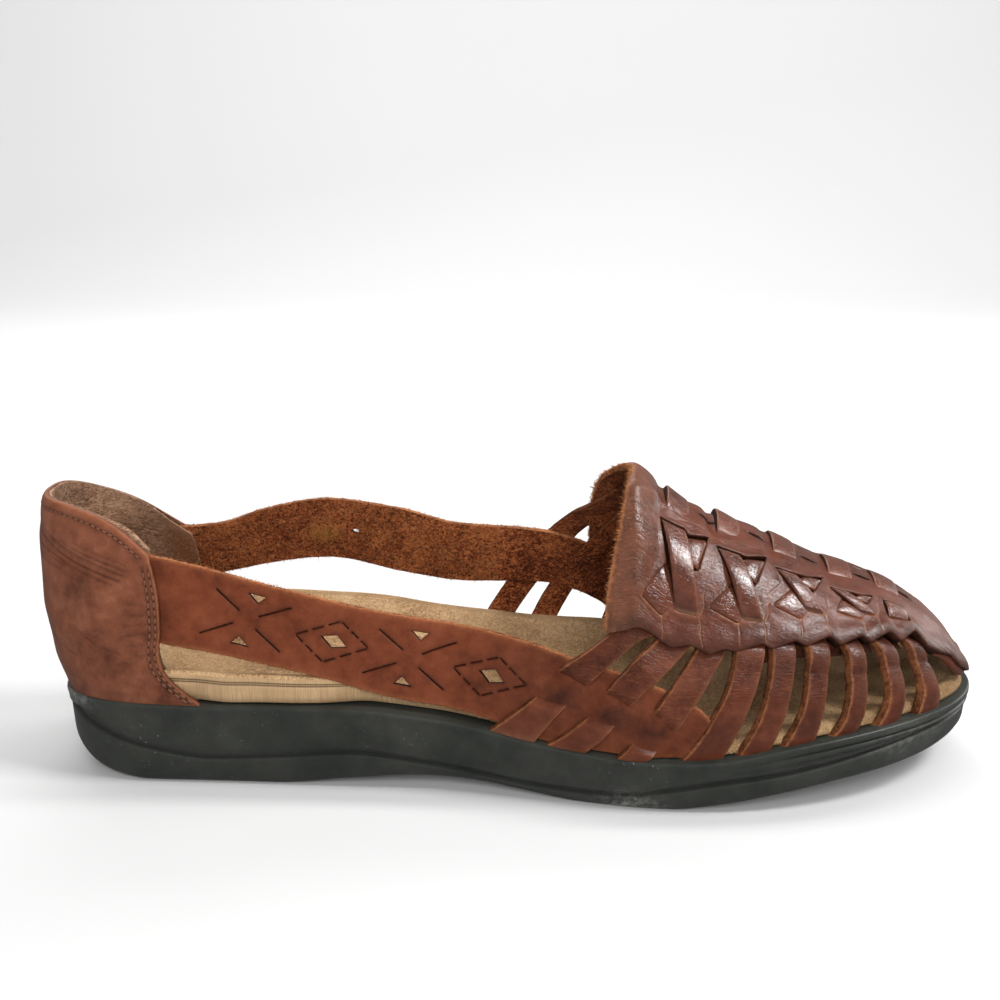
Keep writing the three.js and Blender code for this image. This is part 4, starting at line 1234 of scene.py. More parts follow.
# Cracks of the band at the corners of its openings, and creases at the throat and the toe
BAND_CRACKS = []
for k, (foot, head, width, low, high) in enumerate(CROSSINGS):
    corner = foot + width / 2
    BAND_CRACKS.append([
        (corner, low), (corner + 0.5, low - 2.4), (corner + 0.2, low - 5), (corner + 0.9, low - 8.5)])
    BAND_CRACKS.append([(corner + 0.4, low + 0.4), (corner + 1.4, low + 3.4), (corner + 1.3, low + 7)])
    if k < len(PADS_BEHIND):
        bottom = PADS_BEHIND[k][2]
        BAND_CRACKS.append([bottom, (bottom[0] + 0.4, bottom[1] - 3), (bottom[0] + 0.1, bottom[1] - 6.5)])
THROAT_CREASES = [
    [(159, 36), (163, 37), (167, 36.5)], [(159.4, 41), (163, 42), (166, 41.6)],
    [(160, 45), (164, 46.4), (167, 46)], [(160.4, 49), (164.5, 50), (168.5, 50.6)],
    [(161, 53), (165, 54.4), (168, 54.6)], [(161.4, 57), (166, 58.4), (170, 59)],
    [(162, 61), (166, 62), (171, 63)], [(162.6, 65), (166, 66.4), (170, 67)],
    [(171, 70), (175, 72), (180, 70.6)], [(176, 72.6), (181, 74), (186, 72)],
    [(172, 75), (176, 76), (180, 75)], [(184, 71), (188, 70.6), (190, 69)],
    [(187, 46), (189.4, 52), (188.6, 58)], [(201, 52), (204.6, 58), (203.6, 63)],
]
TOE_CREASES = [
    [(243, 53), (247, 44), (251.6, 38.6)], [(247.6, 66), (251.4, 53), (255.4, 40)],
    [(250.6, 80), (254.6, 63), (257.6, 46)], [(252.6, 100), (255.6, 84), (258.4, 66)],
    [(245.6, 75), (248.6, 61), (250, 50)], [(240, 75), (243, 68), (245, 58)],
    [(244.6, 90), (247, 82), (248.4, 70)], [(248.6, 46), (252.6, 41), (255.6, 33)],
]

# Depth, width and paleness of the three kinds of crease
VAMP_CREASES = [
    (BAND_CRACKS, 0.16, 0.17, 0.3), (THROAT_CREASES, 0.08, 0.24, 0.08), (TOE_CREASES, 0.1, 0.3, 0.08),
]

# Soft fold that runs from the throat up to the first square
THROAT_FOLD = [(163.8, 72), (167, 75), (171, 77.6), (174, 78)]


def vamp_lines(lines):
    """Lines of the lateral side and their mirror images on the medial side, in the pattern."""
    both = []
    for line in lines:
        for corners in (line, mirrored(line)):
            points = vamp_flats(corners)
            length = run_of(points)[-1]
            both.append(at_runs(points, np.linspace(0, length, 2 + int(length))))
    return both


def make_vamp():
    shape = Shape()
    lower = vamp_flats(BAND_EDGE)
    lower_medial = vamp_flats(mirrored([MEDIAL_END] + BAND_EDGE)[::-1])
    throat_angles = np.linspace(*THROAT_ENDS[::-1], 140)
    throat_x = smooth(THROAT, "angle", "x", throat_angles) + 0.16 * wander(throat_angles, 17, 2.0)
    throat = vamp_flats(zip(throat_x, throat_angles))
    nose = vamp_flats((TOE_END, angle) for angle in np.linspace(*NOSE_ENDS, 25))
    loops = [np.concatenate([lower, nose, lower_medial, throat])]
    for k in range(len(CROSSINGS)):
        window = crossing_window(k)
        loops += [vamp_flats(window), vamp_flats(mirrored(window))]
    for x in RIDGE_SLITS:
        loops += [slit(x, angle, *RIDGE_SLIT_SIZE) for angle in RIDGE_SLIT_ANGLES]
    last_window = 2 * len(CROSSINGS)
    cracks = [(line, *sizes) for lines, *sizes in VAMP_CREASES for line in vamp_lines(lines)]
    fold = vamp_flats(THROAT_FOLD)
    feet_x, _, _, feet_low, _ = np.array(CROSSINGS).T

    def relief(flat, gap, loop):
        x, angle = vamp_back(flat)
        side_angle = np.minimum(angle, 180 - angle)
        to_throat = away_from(flat, throat)
        to_low = np.minimum(away_from(flat, lower), away_from(flat, lower_medial))
        window = (loop > 0) & (loop <= last_window)
        # Hand-made unevenness, the turned-down throat edge and the swell behind the first square
        lift = 0.14 * wander_2d(flat[:, 0], flat[:, 1], 11, 16)
        lift -= 0.5 * hill(to_throat, 0.8)
        lift += 0.9 * hill(x - 170, 4.5) * hill(side_angle - 84, 12)
        for line in (fold, fold * np.array([1, -1])):
            lift += 0.8 * hill(away_from(flat, line), 2.3)
        # Hollows behind the squares and the lower ridge of the toe
        for square, dip, _, _ in SQUARES:
            lift -= dip * hill(x - square + SQUARE_HALF + 1.2, 1.7) * blend(side_angle, 66, 80)
        lift -= 0.8 * blend(x, 196, 212) * blend(side_angle, 66, 84)
        # Puffed lower border and the borders of the openings
        puff = 0.8 + 0.7 * blend(x, 205, 228)
        lift += puff * hill(np.maximum(to_low - 1.2, 0), 3.2)
        lift += np.where(window, 0.35 * hill(gap, 1.4) + 0.3 * (1 - hill(gap, 2.6)), 0.3)
        pale = 0.1 * hill(to_throat, 11)
        for line, depth, width, tint in cracks:
            near = np.abs(flat - line.mean(0)).max(1) < 16
            away = away_from(flat[near], line)
            lift[near] -= depth * hill(away, width)
            pale[near] = np.maximum(pale[near], tint * hill(away, 0.9 * width))
        # Wear of the cut edges, torn most at the throat. At the lower borders of the openings the tan of the
        # cut edge is painted where it catches the light; the other borders get painted shade.
        low_border = side_angle < np.interp(x, feet_x, feet_low) + 1.2
        worn = np.where(window, np.where(low_border, 0.55, 0.08), np.where(to_throat < 3, 0.7, 0.06))
        torn = 0.75 + 0.5 * wander(flat[:, 1], 19, 0.7)
        edge = np.maximum(fade(gap, 0.35) * worn, 1 - blend(to_throat, 0.5 * torn, torn))
        pale = np.maximum(pale, 0.3 * (1 - blend(to_throat, 0.2 * torn, 0.6 * torn)))
        crease = 0.2 + 0.8 * hill(to_throat, 8) + 0.4 * blend(x, 236, 250)
        # Painted shade along the lower edge, where the band laps over the strips, at the upper borders of the
        # openings and round the ridge slits; the band and the front of the weave are also darker overall
        dark = 0.35 * hill(to_low, 1.6) + 0.42 * hill(to_low, 5) + 0.1 * blend(x, 184, 200)
        dark += np.where(window & ~low_border, 0.55 * fade(gap, 0.5), 0)
        dark += np.where(loop > last_window, 0.8 * fade(gap, 1.0), 0)
        values = {"edge": edge, "pale": pale, "crease": np.clip(crease, 0, 1), "dark": np.clip(dark, 0, 1)}
        return lift, values

    def place(flat, lift):
        return lifted(*vamp_back(flat), lift)

    def outer_rim(loop):
        return np.where(away_from(loop, throat) < 0.5, RAW, DARK)

    # Cut walls are near-black painted shade, except the raw edge of the throat
    rims = [outer_rim] + [DARK] * (len(loops) - 1)
    marks = [crack[0] for crack in cracks]
    panel(shape, loops, place, relief, rims, thick=1.8, cell=0.85, seed=21, marks=marks)
    shape.build("vamp", [weave, flesh, cut, dark_cut], "upper")


def make_toe_lip():
    """Rolled lower edge of the toe band."""
    shape = Shape()
    side = [point for point in BAND_EDGE if point[0] > LIP_FROM]
    corners = side + [(TOE_END, angle) for angle in np.linspace(*NOSE_ENDS, 29)] + mirrored(side)[::-1]
    flat = vamp_flats(corners)
    length = run_of(flat)[-1]
    runs = np.linspace(0, length, 110)
    flat = at_runs(flat, runs)
    for _ in range(4):
        flat[1:-1] = 0.5 * flat[1:-1] + 0.25 * (flat[:-2] + flat[2:])
    path = lifted(*vamp_back(flat), -0.75)
    radius = 0.4 + 0.9 * blend(np.minimum(runs, length - runs), 0, 9)
    step = unit(np.gradient(path, axis=0))
    level = unit(np.cross(step, np.array([0.0, 0.0, 1.0])))
    upright = np.cross(level, step)
    turns = np.linspace(0, 2 * np.pi, 10, endpoint=False)[:, None]
    rings = path[:, None] + radius[:, None, None] * (
        level[:, None] * np.cos(turns) + upright[:, None] * np.sin(turns))
    at = shape.grid(rings)
    shape.face(grid_faces(at, closed=True), FACE)
    shape.caps(at, FACE)
    shape.build("toe_lip", [weave], "upper")


def crossing_strip(shape, k, medial):
    """Strip on top of one crossing of the weave."""
    foot, head, width, low, high = CROSSINGS[k]
    bulge = 0.1 + 0.05 * (high - low)

    def place(s, t, lift):
        fall = 1.6 * (1 - blend(t, -0.07, 0.06)) + 2.6 * blend(t, 0.93, 1.09)
        swell = 0.6 + bulge * np.sin(np.pi * np.clip(t * 0.94 + 0.03, 0, 1)) ** 1.2
        narrow = width * (1 - 0.06 * blend(t, 0.8, 1.1))
        x = mix(foot, head, t) + (s - 0.5) * narrow + 0.1 * wander(t * 20, 91 + k, 2)
        return lifted(x, on_side(mix(low, high, t), medial), lift + swell - fall)

    def paint(s, t):
        gap = np.minimum(s, 1 - s) * width
        flat = np.stack([s * width + 40 * k, t * 24, 0 * s], -1)
        # Painted shade where the head dips into its slit, where the foot goes under the band and along the
        # left edge; the right edge gets the tan of the cut edge, painted where it catches the light
        dark = 0.8 * blend(t, 0.9, 1.02) + 0.5 * (1 - blend(t, 0.0, 0.25)) + 0.35 * fade(s * width, 0.6)
        return flat, {
            "edge": fade(gap, 0.35) * np.where(s > 0.5, 0.5, 0.12),
            "crease": 0.12 + 0.45 * blend(t, 0.6, 0.85),
            "dark": np.clip(dark, 0, 1),
            "pale": 0.4 * hill(t - 0.015, 0.012),
        }

    # Its cut sides are near-black, painted shade
    section = strip_section(width, thick=1.5, crown=0.2, side=DARK)
    sweep(shape, place, section, np.linspace(-0.12, 1.14, 40), paint)


def puffed(s, t, height):
    """Cushion over a pad."""
    return height * np.sin(np.pi * s) * np.sin(np.pi * t)


def level_at(height):
    """Flat base of a pad."""
    return lambda s, t: np.full_like(s, height)


def pad_behind(s, t):
    fall = 0.35 * (1 - blend(s, 0, 0.14)), 0.25 * (1 - blend(t, 0, 0.08)), 0.7 * blend(t, 0.75, 1)
    return 0.3 - fall[0] - fall[1] - fall[2] + puffed(s, t, 0.35)


def pad_before(s, t):
    fall = 1.0 * blend(t, 0.78, 1), 0.3 * blend(s, 0.9, 1), 0.6 * (1 - blend(s, 0, 0.3))
    return 0.35 - fall[0] - fall[1] - fall[2] + puffed(s, t, 0.4)


def make_weave():
    """Strips and pads that fill the openings of the vamp, and the squares along its ridge."""
    shape = Shape()
    for medial in (False, True):
        for k, (foot, head, width, low, high) in enumerate(CROSSINGS):
            crossing_strip(shape, k, medial)
            half = width / 2
            left = foot - half - (8 if k < len(PADS_BEHIND) else 1)
            corners = [(left, low - 2), (foot + half + 2, low - 2), (head + half + 5, high + 3),
                       (head - half - 1.5, high + 3)]
            # Near-black sheet behind each crossing, painted shade that fills the see-through gaps
            pad(shape, corners, level_at(-1.75), medial, thick=2.5, size=12, kind=DARK)
        for top, left, bottom, right in PADS_BEHIND:
            corners = [(left[0] - 0.5, left[1] + 0.3), bottom, (right[0] + 2.2, right[1]),
                       (top[0] - 0.3, top[1] + 1.2)]
            pad(shape, corners, pad_behind, medial, thick=1.7, size=8, edge=0.25)
        for (rear, front, tip), (foot, head, width, low, high) in zip(PADS_BEFORE, CROSSINGS):
            share = (mix(tip[1], rear[1], 0.35) - low) / (high - low)
            inner = (mix(foot, head, share) + 0.1 * width, mix(low, high, share))
            corners = [inner, tip, front, (rear[0] - 1.6, rear[1])]
            pad(shape, corners, pad_before, medial, thick=1.7, size=7, edge=0.25)
        # Near-black pieces under the band between the front strips, coloured as painted shade
        for behind, ahead in zip(STRIPS[3:-1], STRIPS[4:]):
            left, right, top = behind[2][1] - 1.2, ahead[2][0] + 1.2, ahead[4] + 1.0
            corners = [(left + 0.8, top - 7.5), (right + 1.4, top - 6.0), (right, top), (left, top)]
            pad(shape, corners, level_at(-2.3), medial, thick=1.3, size=7, kind=DARK)
    start, end = SQUARE_ANGLES
    for x, _, rear, front in SQUARES:
        def arched(s, t):
            return -0.6 + (0.6 + mix(rear, front, s)) * np.sin(np.pi * t) ** 0.35 + 0.15 * np.sin(np.pi * s)

        left, right = x - SQUARE_HALF, x + SQUARE_HALF
        corners = [(left, start), (right, start), (right, end), (left, end)]
        pad(shape, corners, arched, False, thick=1.4, size=7)
    shape.build("weave_strips", [polished, flesh, cut, dark_cut], "upper")


# Side strips
STRIP_FOOT = -0.9
HEAD_MORE = 2.5
STRIP_START = (-0.04, -0.04)
STRIP_END = (1.1, 1.1)
TUCK = 0.93


def through(t, a, b, c):
    """Parabola through the values at foot, middle and head of a strip."""
    return (1 - t) * (1 - 2 * t) * a + 4 * t * (1 - t) * b + t * (2 * t - 1) * c


def strip_angle(t, middle_angle, head_angle):
    return through(t, STRIP_FOOT, middle_angle, head_angle + HEAD_MORE)


def run_at(angles, middle_angle, head_angle):
    """Share of a strip's run at which it reaches the given angles."""
    shares = np.linspace(-0.1, 1.1, 400)
    return np.interp(angles, strip_angle(shares, middle_angle, head_angle), shares)


def make_strip(shape, k, medial, low=STRIP_START, high=STRIP_END):
    """One run of a strip between shares low and high of its course, each given at its rear and front edge."""
    foot, middle, head, middle_angle, head_angle, back, woven = STRIPS[k]
    back = back if medial else 0
    tuck = TUCK
    if medial and k < len(INNER_STRIPS):
        foot, middle, head, middle_angle, head_angle, tuck = INNER_STRIPS[k]
    comes_out = low is not STRIP_START
    goes_in = high is not STRIP_END
    width = 0.5 * (middle[1] - middle[0]) + 0.25 * (head[1] - head[0] + foot[1] - foot[0])
    bevel = 0.6 if woven else 1.1
    front_strip = k > 4

    def share(s, u):
        return mix(mix(low[0], low[1], s), mix(high[0], high[1], s), u)

    def place(s, u, lift):
        t = share(s, u)
        rear = through(t, foot[0], middle[0], head[0]) - back * (1 - t)
        front = through(t, foot[1], middle[1], head[1]) - back * (1 - t)
        x = mix(rear, front, s) + 0.14 * wander(t * 30, 31 + k, 2.2)
        over = 1.5 * (1 - blend(t, tuck - 0.16, tuck)) if woven else 0
        base = over + 0.35 * np.sin(np.pi * np.clip(t, 0, 1)) - 1.7 * blend(t, tuck - 0.02, tuck + 0.1)
        if comes_out:
            x = x - mix(*SWINGS[k], s) * (1 - blend(t, low[0], low[0] + 0.34))
            base = base - 2.6 * (1 - blend(u, 0.0, 0.16))
        if goes_in:
            base = base - 2.6 * blend(u, 0.8, 1.0)
        if not woven:
            base = base + 0.9 * hill(t - 0.85, 0.08) * (1 if front_strip else 0.5)
            base = base - 0.3 * hill(t - 0.73, 0.03) * front_strip
        base = base + 0.12 * wander(t * 22 + s * 3, 51 + k, 3)
        return lifted(x, on_side(strip_angle(t, middle_angle, head_angle), medial), lift + base)

    def paint(s, u):
        t = share(s, u)
        flat = np.stack([s * width + 60 * k, t * 45, 0 * s], -1)
        # Painted shade at the head, where it goes under the band, and at the ends that go into and come out
        # of the strap's slits
        end_shade = hill(t - 1.04, 0.1)
        if comes_out:
            end_shade = end_shade + 0.5 * hill(u - 0.02, 0.06)
        if goes_in:
            end_shade = end_shade + 0.5 * hill(u - 0.98, 0.06)
        torn = 0.5 + 0.3 * wander(t * 40, 131 + k, 1.0)
        rear_edge = 0.75 * (1 - blend(s * width - bevel, 0.2 * torn, torn))
        burnt = 0.4 * hill(t - 0.25, 0.14) * (k in (3, 5, 6))
        return flat, {
            "edge": np.maximum(rear_edge, 0.6 * fade((1 - s) * width, 0.35)),
            "crease": 0.15 + 0.7 * hill(t - 0.68, 0.2),
            "dark": np.clip(0.75 * end_shade + burnt + 0.2 * blend(t, 0.55, 0.8) + 0.2 * (k > 3), 0, 1),
            "pale": 0.3 * (k < 2) * hill(t, 0.07),
        }

    section = strip_section(width, thick=1.9, crown=0.35, side=RAW, bevel=bevel)
    rows = np.linspace(0, 1, 14 + int(44 * (high[0] - low[0])))
    sweep(shape, place, section, rows, paint, fuzz=0.2)


def make_strips():
    shape = Shape()
    for medial in (False, True):
        for k, (_, _, _, middle_angle, head_angle, _, woven) in enumerate(STRIPS):
            if medial or not woven:
                make_strip(shape, k, medial)
                continue
            goes_in, comes_out = SLITS[k]
            make_strip(shape, k, medial, high=run_at(np.array(goes_in) + 1.0, middle_angle, head_angle))
            make_strip(shape, k, medial, low=run_at(np.array(comes_out) - 1.0, middle_angle, head_angle))
    shape.build("side_strips", [strip_look, flesh, strip_cut, dark_cut], "upper")


# Side straps
def bar(a, b, run, width):
    """Narrow slot from a to b, along run."""
    side = np.array([-run[1], run[0]]) / np.linalg.norm(run) * width / 2
    return np.array([a + side, b + side, b - side, a - side])


def scaled(corners, scale):
    middle = sum(corners) / len(corners)
    return np.array([middle + (c - middle) * scale for c in corners])


def motif(rows, open_scale):
    """Cut-outs and engraved lines of one strap; open_scale sets how open triangles and diamonds are cut."""
    holes = []
    lines = []

    def at(x, share):
        return np.array([x, mix(along(rows, "low", x), along(rows, "high", x), share)])

    for cross in CROSS_AT:
        for x0, s0, x1, s1 in SLASHES:
            a, b = at(cross + x0, s0), at(cross + x1, s1)
            lines.append(bar(a, b, b - a, SLASH_WIDTH))
        for x, base, tip, half in TRIANGLES:
            corners = [at(cross + x - half, base), at(cross + x + half, base), at(cross + x, tip)]
            holes.append(scaled(corners, open_scale))
    for centre in DIAMOND_AT:
        holes.append(scaled([at(centre + x, s) for x, s in DIAMOND], open_scale))
        ring = [at(centre, 0.5) + np.array(c) for c in DASHED_DIAMOND]
        for a, b in zip(ring, ring[1:] + ring[:1]):
            run = b - a
            lines += [bar(a + run * start, a + run * end, run, DASH_WIDTH) for start, end in DASHES]
    return holes, lines


def strap_bridges():
    """Bridges of the lateral strap over the strips: their ends, half width and burnt place."""
    bridges = []
    for strip, slit_angles, burnt in zip(STRIPS, SLITS, BURNT):
        foot, middle, head, middle_angle, head_angle, _, _ = strip
        ends = []
        for angles in slit_angles:
            angle = 0.5 * (angles[0] + angles[1])
            t = run_at(angle, middle_angle, head_angle)
            x = 0.5 * (through(t, foot[0], middle[0], head[0]) + through(t, foot[1], middle[1], head[1]))
            ends.append((x, float(skin(x, angle)[2])))
        bridges.append((np.array(ends), 0.5 * (middle[1] - middle[0]), burnt))
    return bridges


def make_strap(name, rows, medial, seed):
    shape = Shape()
    xs = np.linspace(rows["x"][0], rows["x"][-1], 300)
    low = np.maximum(along(rows, "low", xs), sole_top(xs) - 0.8) + 0.14 * wander(xs, seed, 1.2)
    high = along(rows, "high", xs) + 0.14 * wander(xs, seed + 1, 1.2)
    outer = np.concatenate([np.stack([xs, low], -1), np.stack([xs, high], -1)[::-1]])
    holes, lines = motif(rows, 1.0)
    bridges = [] if medial else strap_bridges()
    if medial:
        lines = lines + holes[:OPEN_HOLE] + holes[OPEN_HOLE + 1:]
        holes = [motif(rows, OPEN_SCALE)[0][OPEN_HOLE]]

    def relief(flat, gap, loop):
        x, z = flat[:, 0], flat[:, 1]
        lift = 0.22 * wander_2d(x, z, seed + 2, 34) + 0.08 * wander_2d(x, z, seed + 3, 12)
        lift -= 0.5 * blend(x, 105, 150)
        # Darker towards its rear end, where it goes under the counter; the lateral strap's front is darkened
        # as painted shade under the strips
        dark = 0.3 * (1 - blend(x, 33, 40))
        dark += 0.36 * blend(x, 116, 138) * (not medial)
        # The strap swells over each strip and is burnt beside the slit
        for ends, half, (share, ahead, above) in bridges:
            lift += 1.1 * hill(away_from(flat, ends), half * 0.9)
            burnt = mix(ends[0], ends[1], share) + np.array([ahead, above])
            dark += 0.58 * hill(np.hypot((x - burnt[0]) * 0.7, z - burnt[1]), half * 0.7)
        hole = loop > 0
        # Painted shade round the cut-outs
        lift += np.where(hole, -0.15 * hill(gap, 1.0), 0)
        dark += np.where(hole, 0.4 * fade(gap, 0.5), 0)
        edge = np.where(hole, 0, 0.85 * fade(gap, 0.45))
        share = (z - along(rows, "low", x)) / np.maximum(along(rows, "high", x) - along(rows, "low", x), 1)
        # Stains on the flesh side, and painted shade that deepens it towards the front, under the vamp
        yellow = hill(x - 72, 4.5) * hill(share - 0.42, 0.13) * medial
        darkening = hill(x - 68, 9) * hill(share - 0.2, 0.1) * medial
        darkening += 0.6 * blend(x, 118, 160) * (0.7 + 0.3 * wander_2d(x, z, seed + 9, 9))
        stains = {"stain": 0.8 * yellow, "dark": np.clip(0.8 * darkening, 0, 1)}
        return lift, {"edge": edge, "dark": np.clip(dark, 0, 1), "crease": 0.1, "stains": stains}

    def place(flat, lift):
        x, z = flat[:, 0], flat[:, 1]
        return lifted(x, angle_at(x, z, medial), lift)

    # Walls of the cut-outs are near-black, painted shade
    rims = [RAW] + [DARK] * len(holes)
    panel(shape, [outer] + holes, place, relief, rims, thick=1.9, cell=0.9, seed=seed + 5, engraved=lines)
    shape.build(name, [saddle, flesh, cut, dark_cut], "upper")


# Heel counter: its pattern is laid out by the turn about the heel and by height
COUNTER_LIFT = 2.0
TURN_MM = 236.0
COLLAR_FRONT = 31.0
CORNER_DROP = 0.6


def counter_x(flat):
    return outline(flat[:, 0] / TURN_MM)[:, 0]


def counter_place(flat, lift):
    """Point on the heel of a place in the counter's pattern, lifted outwards."""
    turn = flat[:, 0] / TURN_MM
    z = flat[:, 1]
    base = sole_top(rear_point(turn, np.zeros_like(z), np.zeros_like(z))[:, 0])
    return raised(rear_point(turn, z - base, lift), z)


def collar_line(count, below, front):
    """Points under the collar edge from the lateral to the medial front end, in the counter's pattern."""
    end = float(turn_at(front, False))
    turn = np.linspace(end, -end, count)
    x = outline(turn)[:, 0]
    z = np.where(turn < 0, along(COLLAR, "medial", x), along(COLLAR, "lateral", x)) - below
    return np.stack([turn * TURN_MM, z], -1)


def front_line(medial, inset, low, high, count):
    """Points behind the front edge, in the counter's pattern."""
    z = np.linspace(low, high, count)
    x = smooth(COUNTER_FRONT, "z", "x", z) - inset
    return np.stack([turn_at(x, medial) * TURN_MM, z], -1)


def counter_loop(drop, inset, foot):
    """Outline of the counter: collar, medial front, sole line and lateral front."""
    collar = collar_line(90, drop, COLLAR_FRONT - inset)
    medial = front_line(True, inset, foot, collar[-1, 1] - CORNER_DROP, 40)[::-1]
    lateral = front_line(False, inset, foot, collar[0, 1] - CORNER_DROP, 40)
    turns = np.linspace(medial[-1, 0], lateral[0, 0], 80)[1:-1]
    x = outline(turns / TURN_MM)[:, 0]
    sole_line = np.stack([turns, sole_top(x) - 0.7], -1)
    return np.concatenate([collar, medial, sole_line, lateral])


# Creases and soft folds of the lateral half, with their depth and width
COUNTER_CREASES = [
    ([(8, 70), (18, 67.6), (32, 62.4), (45, 58)], 0.26, 0.5),
    ([(10, 66.5), (22, 64.4), (34, 60), (43, 57)], 0.2, 0.45),
    ([(20, 69), (34, 64), (46.5, 59.4)], 0.22, 0.45), ([(12, 63), (22, 61), (31, 58)], 0.16, 0.5),
    ([(30, 66.8), (39, 63.6), (47, 61)], 0.16, 0.4), ([(6, 73), (14, 71), (24, 68)], 0.16, 0.5),
    ([(12, 44), (22, 38), (30, 36)], 0.12, 0.6), ([(30, 45), (38, 40), (46, 38)], 0.12, 0.6),
    ([(47.4, 52), (53.2, 51.4)], 0.1, 0.4), ([(46.6, 49), (53.4, 48.8)], 0.1, 0.4),
    ([(47.6, 46), (53.6, 46.2)], 0.12, 0.4), ([(46, 43), (53.6, 43.6)], 0.1, 0.4),
    ([(47.2, 40), (53.6, 41)], 0.1, 0.4), ([(48, 37), (53.6, 38)], 0.1, 0.4),
    ([(6, 71.6), (18, 69), (32, 64), (42, 60.4)], 0.12, 0.25),
    ([(12, 68), (26, 64.4), (40, 59.4)], 0.12, 0.25),
    ([(16, 64.6), (28, 61.6), (38, 58)], 0.12, 0.25), ([(10, 64.6), (20, 62.4), (28, 59.6)], 0.1, 0.25),
    ([(24, 69), (36, 64.6), (47, 60.4)], 0.1, 0.25), ([(30, 68.4), (39, 65.4), (47, 62.4)], 0.1, 0.25),
    ([(20, 46), (27, 41), (33, 40)], 0.08, 0.3), ([(24, 49), (30, 44), (38, 42.6)], 0.08, 0.3),
]
COUNTER_FOLDS = [
    ([(8, 71), (24, 65), (44, 58)], 0.4, 3.2), ([(12, 48), (28, 44), (40, 46)], -0.35, 5.0),
    ([(16, 36), (34, 32)], 0.25, 5.0),
]
FRONT_ROWS = (1.1, 2.75)
COLLAR_ROW = 2.5


def both_sides(rows):
    """Lines of the lateral half of the counter and, a little moved, of its medial half."""
    lines = []
    for points, depth, width in rows:
        line = np.array(points, float)
        lines.append((line, depth, width))
        lines.append((line * np.array([-1, 1]) + np.array([2.0, -1.6]), depth, width))
    return lines


counter_creases = both_sides(COUNTER_CREASES)
counter_folds = both_sides(COUNTER_FOLDS)
counter_seams = [
    front_line(medial, inset, low=24, high=62, count=60) for medial in (False, True) for inset in FRONT_ROWS]
counter_seams.append(collar_line(160, below=COLLAR_ROW, front=COLLAR_FRONT - 2.6))
counter_collar = collar_line(160, below=0.0, front=COLLAR_FRONT)


def counter_relief(flat):
    """Lift of the counter's face, with its folds, creases and sunk seams."""
    lift = 0.2 * wander_2d(flat[:, 0], flat[:, 1], 71, 24)
    lift -= 0.5 * hill(away_from(flat, counter_collar), 1.1)
    for line, depth, width in counter_folds:
        lift -= depth * hill(away_from(flat, line), width)
    for line, depth, width in counter_creases:
        near = np.abs(flat - line.mean(0)).max(1) < 30
        lift[near] -= depth * hill(away_from(flat[near], line), width)
    for seam in counter_seams:
        lift -= 0.3 * hill(away_from(flat, seam), 0.55)
    return np.minimum(lift, 0.6)


def make_counter():
    shape = Shape()

    def relief(flat, gap, loop):
        # Darker towards the sole, and painted shade along the sunk seams and in the creases
        dark = 0.35 * hill(flat[:, 1] - sole_top(counter_x(flat)), 3)
        for seam in counter_seams:
            dark = np.maximum(dark, 0.45 * hill(away_from(flat, seam), 0.7))
        for line, depth, _ in counter_creases:
            dark = np.maximum(dark, 2.3 * depth * hill(away_from(flat, line), 0.4))
        smudge = hill(np.abs(flat[:, 0]) - 31.5, 5.5) * hill(flat[:, 1] - 55.5, 6)
        dark = np.maximum(dark, 0.7 * smudge * (0.8 + 0.4 * wander_2d(flat[:, 0], flat[:, 1], 75, 8)))
        values = {"edge": 0.4 * fade(gap, 0.45), "dark": np.clip(dark, 0, 1), "crease": 0.12}
        return counter_relief(flat), values

    def place(flat, lift):
        return counter_place(flat, lift + COUNTER_LIFT)

    marks = [line for line, _, _ in counter_creases] + counter_seams
    loops = [counter_loop(drop=0.0, inset=0.0, foot=23.0)]
    panel(shape, loops, place, relief, [FACE], thick=1.6, cell=1.0, seed=77, marks=marks)
    shape.build("counter", [counter_look, lining, cut, dark_cut], "heel_counter")


def make_lining():
    shape = Shape()

    def relief(flat, gap, loop):
        lift = 0.25 * wander_2d(flat[:, 0], flat[:, 1], 81, 20)
        pale = 0.6 * fade(away_from(flat, counter_collar), 1.5)
        return lift, {"stains": {"pale": pale, "stain": 1.4 * blend(counter_x(flat), 15, 29)}}

    def place(flat, lift):
        return counter_place(flat, lift - mix(-0.2, 2.3, blend(counter_x(flat), 12, 25)))

    loops = [counter_loop(drop=0.3, inset=1.2, foot=23.5)]
    panel(shape, loops, place, relief, [RAW], thick=1.1, cell=1.2, seed=83)
    shape.build("counter_lining", [lining, lining, lining], "heel_counter")


# Stitches: pitch, start, length of the thread on top and place of the needle hole after it
STITCH_PITCH = 2.1
STITCH_FIRST = 0.6
STITCH_LENGTH = 1.45
HOLE_AT = 1.78
BEAD_SIDES = 6


def bead(shape, at, aim, lengths, radii, lifts):
    """Small rounded body on the counter, along aim and closed at both ends."""
    turns = np.linspace(0, 2 * np.pi, BEAD_SIDES, endpoint=False)
    side = np.array([-aim[1], aim[0]])
    spine = at + aim * lengths[:, None]
    around = spine[:, None] + side * (radii[:, None] * np.cos(turns))[..., None]
    heights = lifts[:, None] + radii[:, None] * np.sin(turns)
    ground = np.repeat(counter_relief(spine), BEAD_SIDES)
    points = counter_place(around.reshape(-1, 2), heights.ravel() + ground + COUNTER_LIFT)
    ids = shape.grid(points.reshape(len(lengths), BEAD_SIDES, 3))
    shape.face(grid_faces(ids, closed=True), FACE)
    shape.caps(ids, FACE)


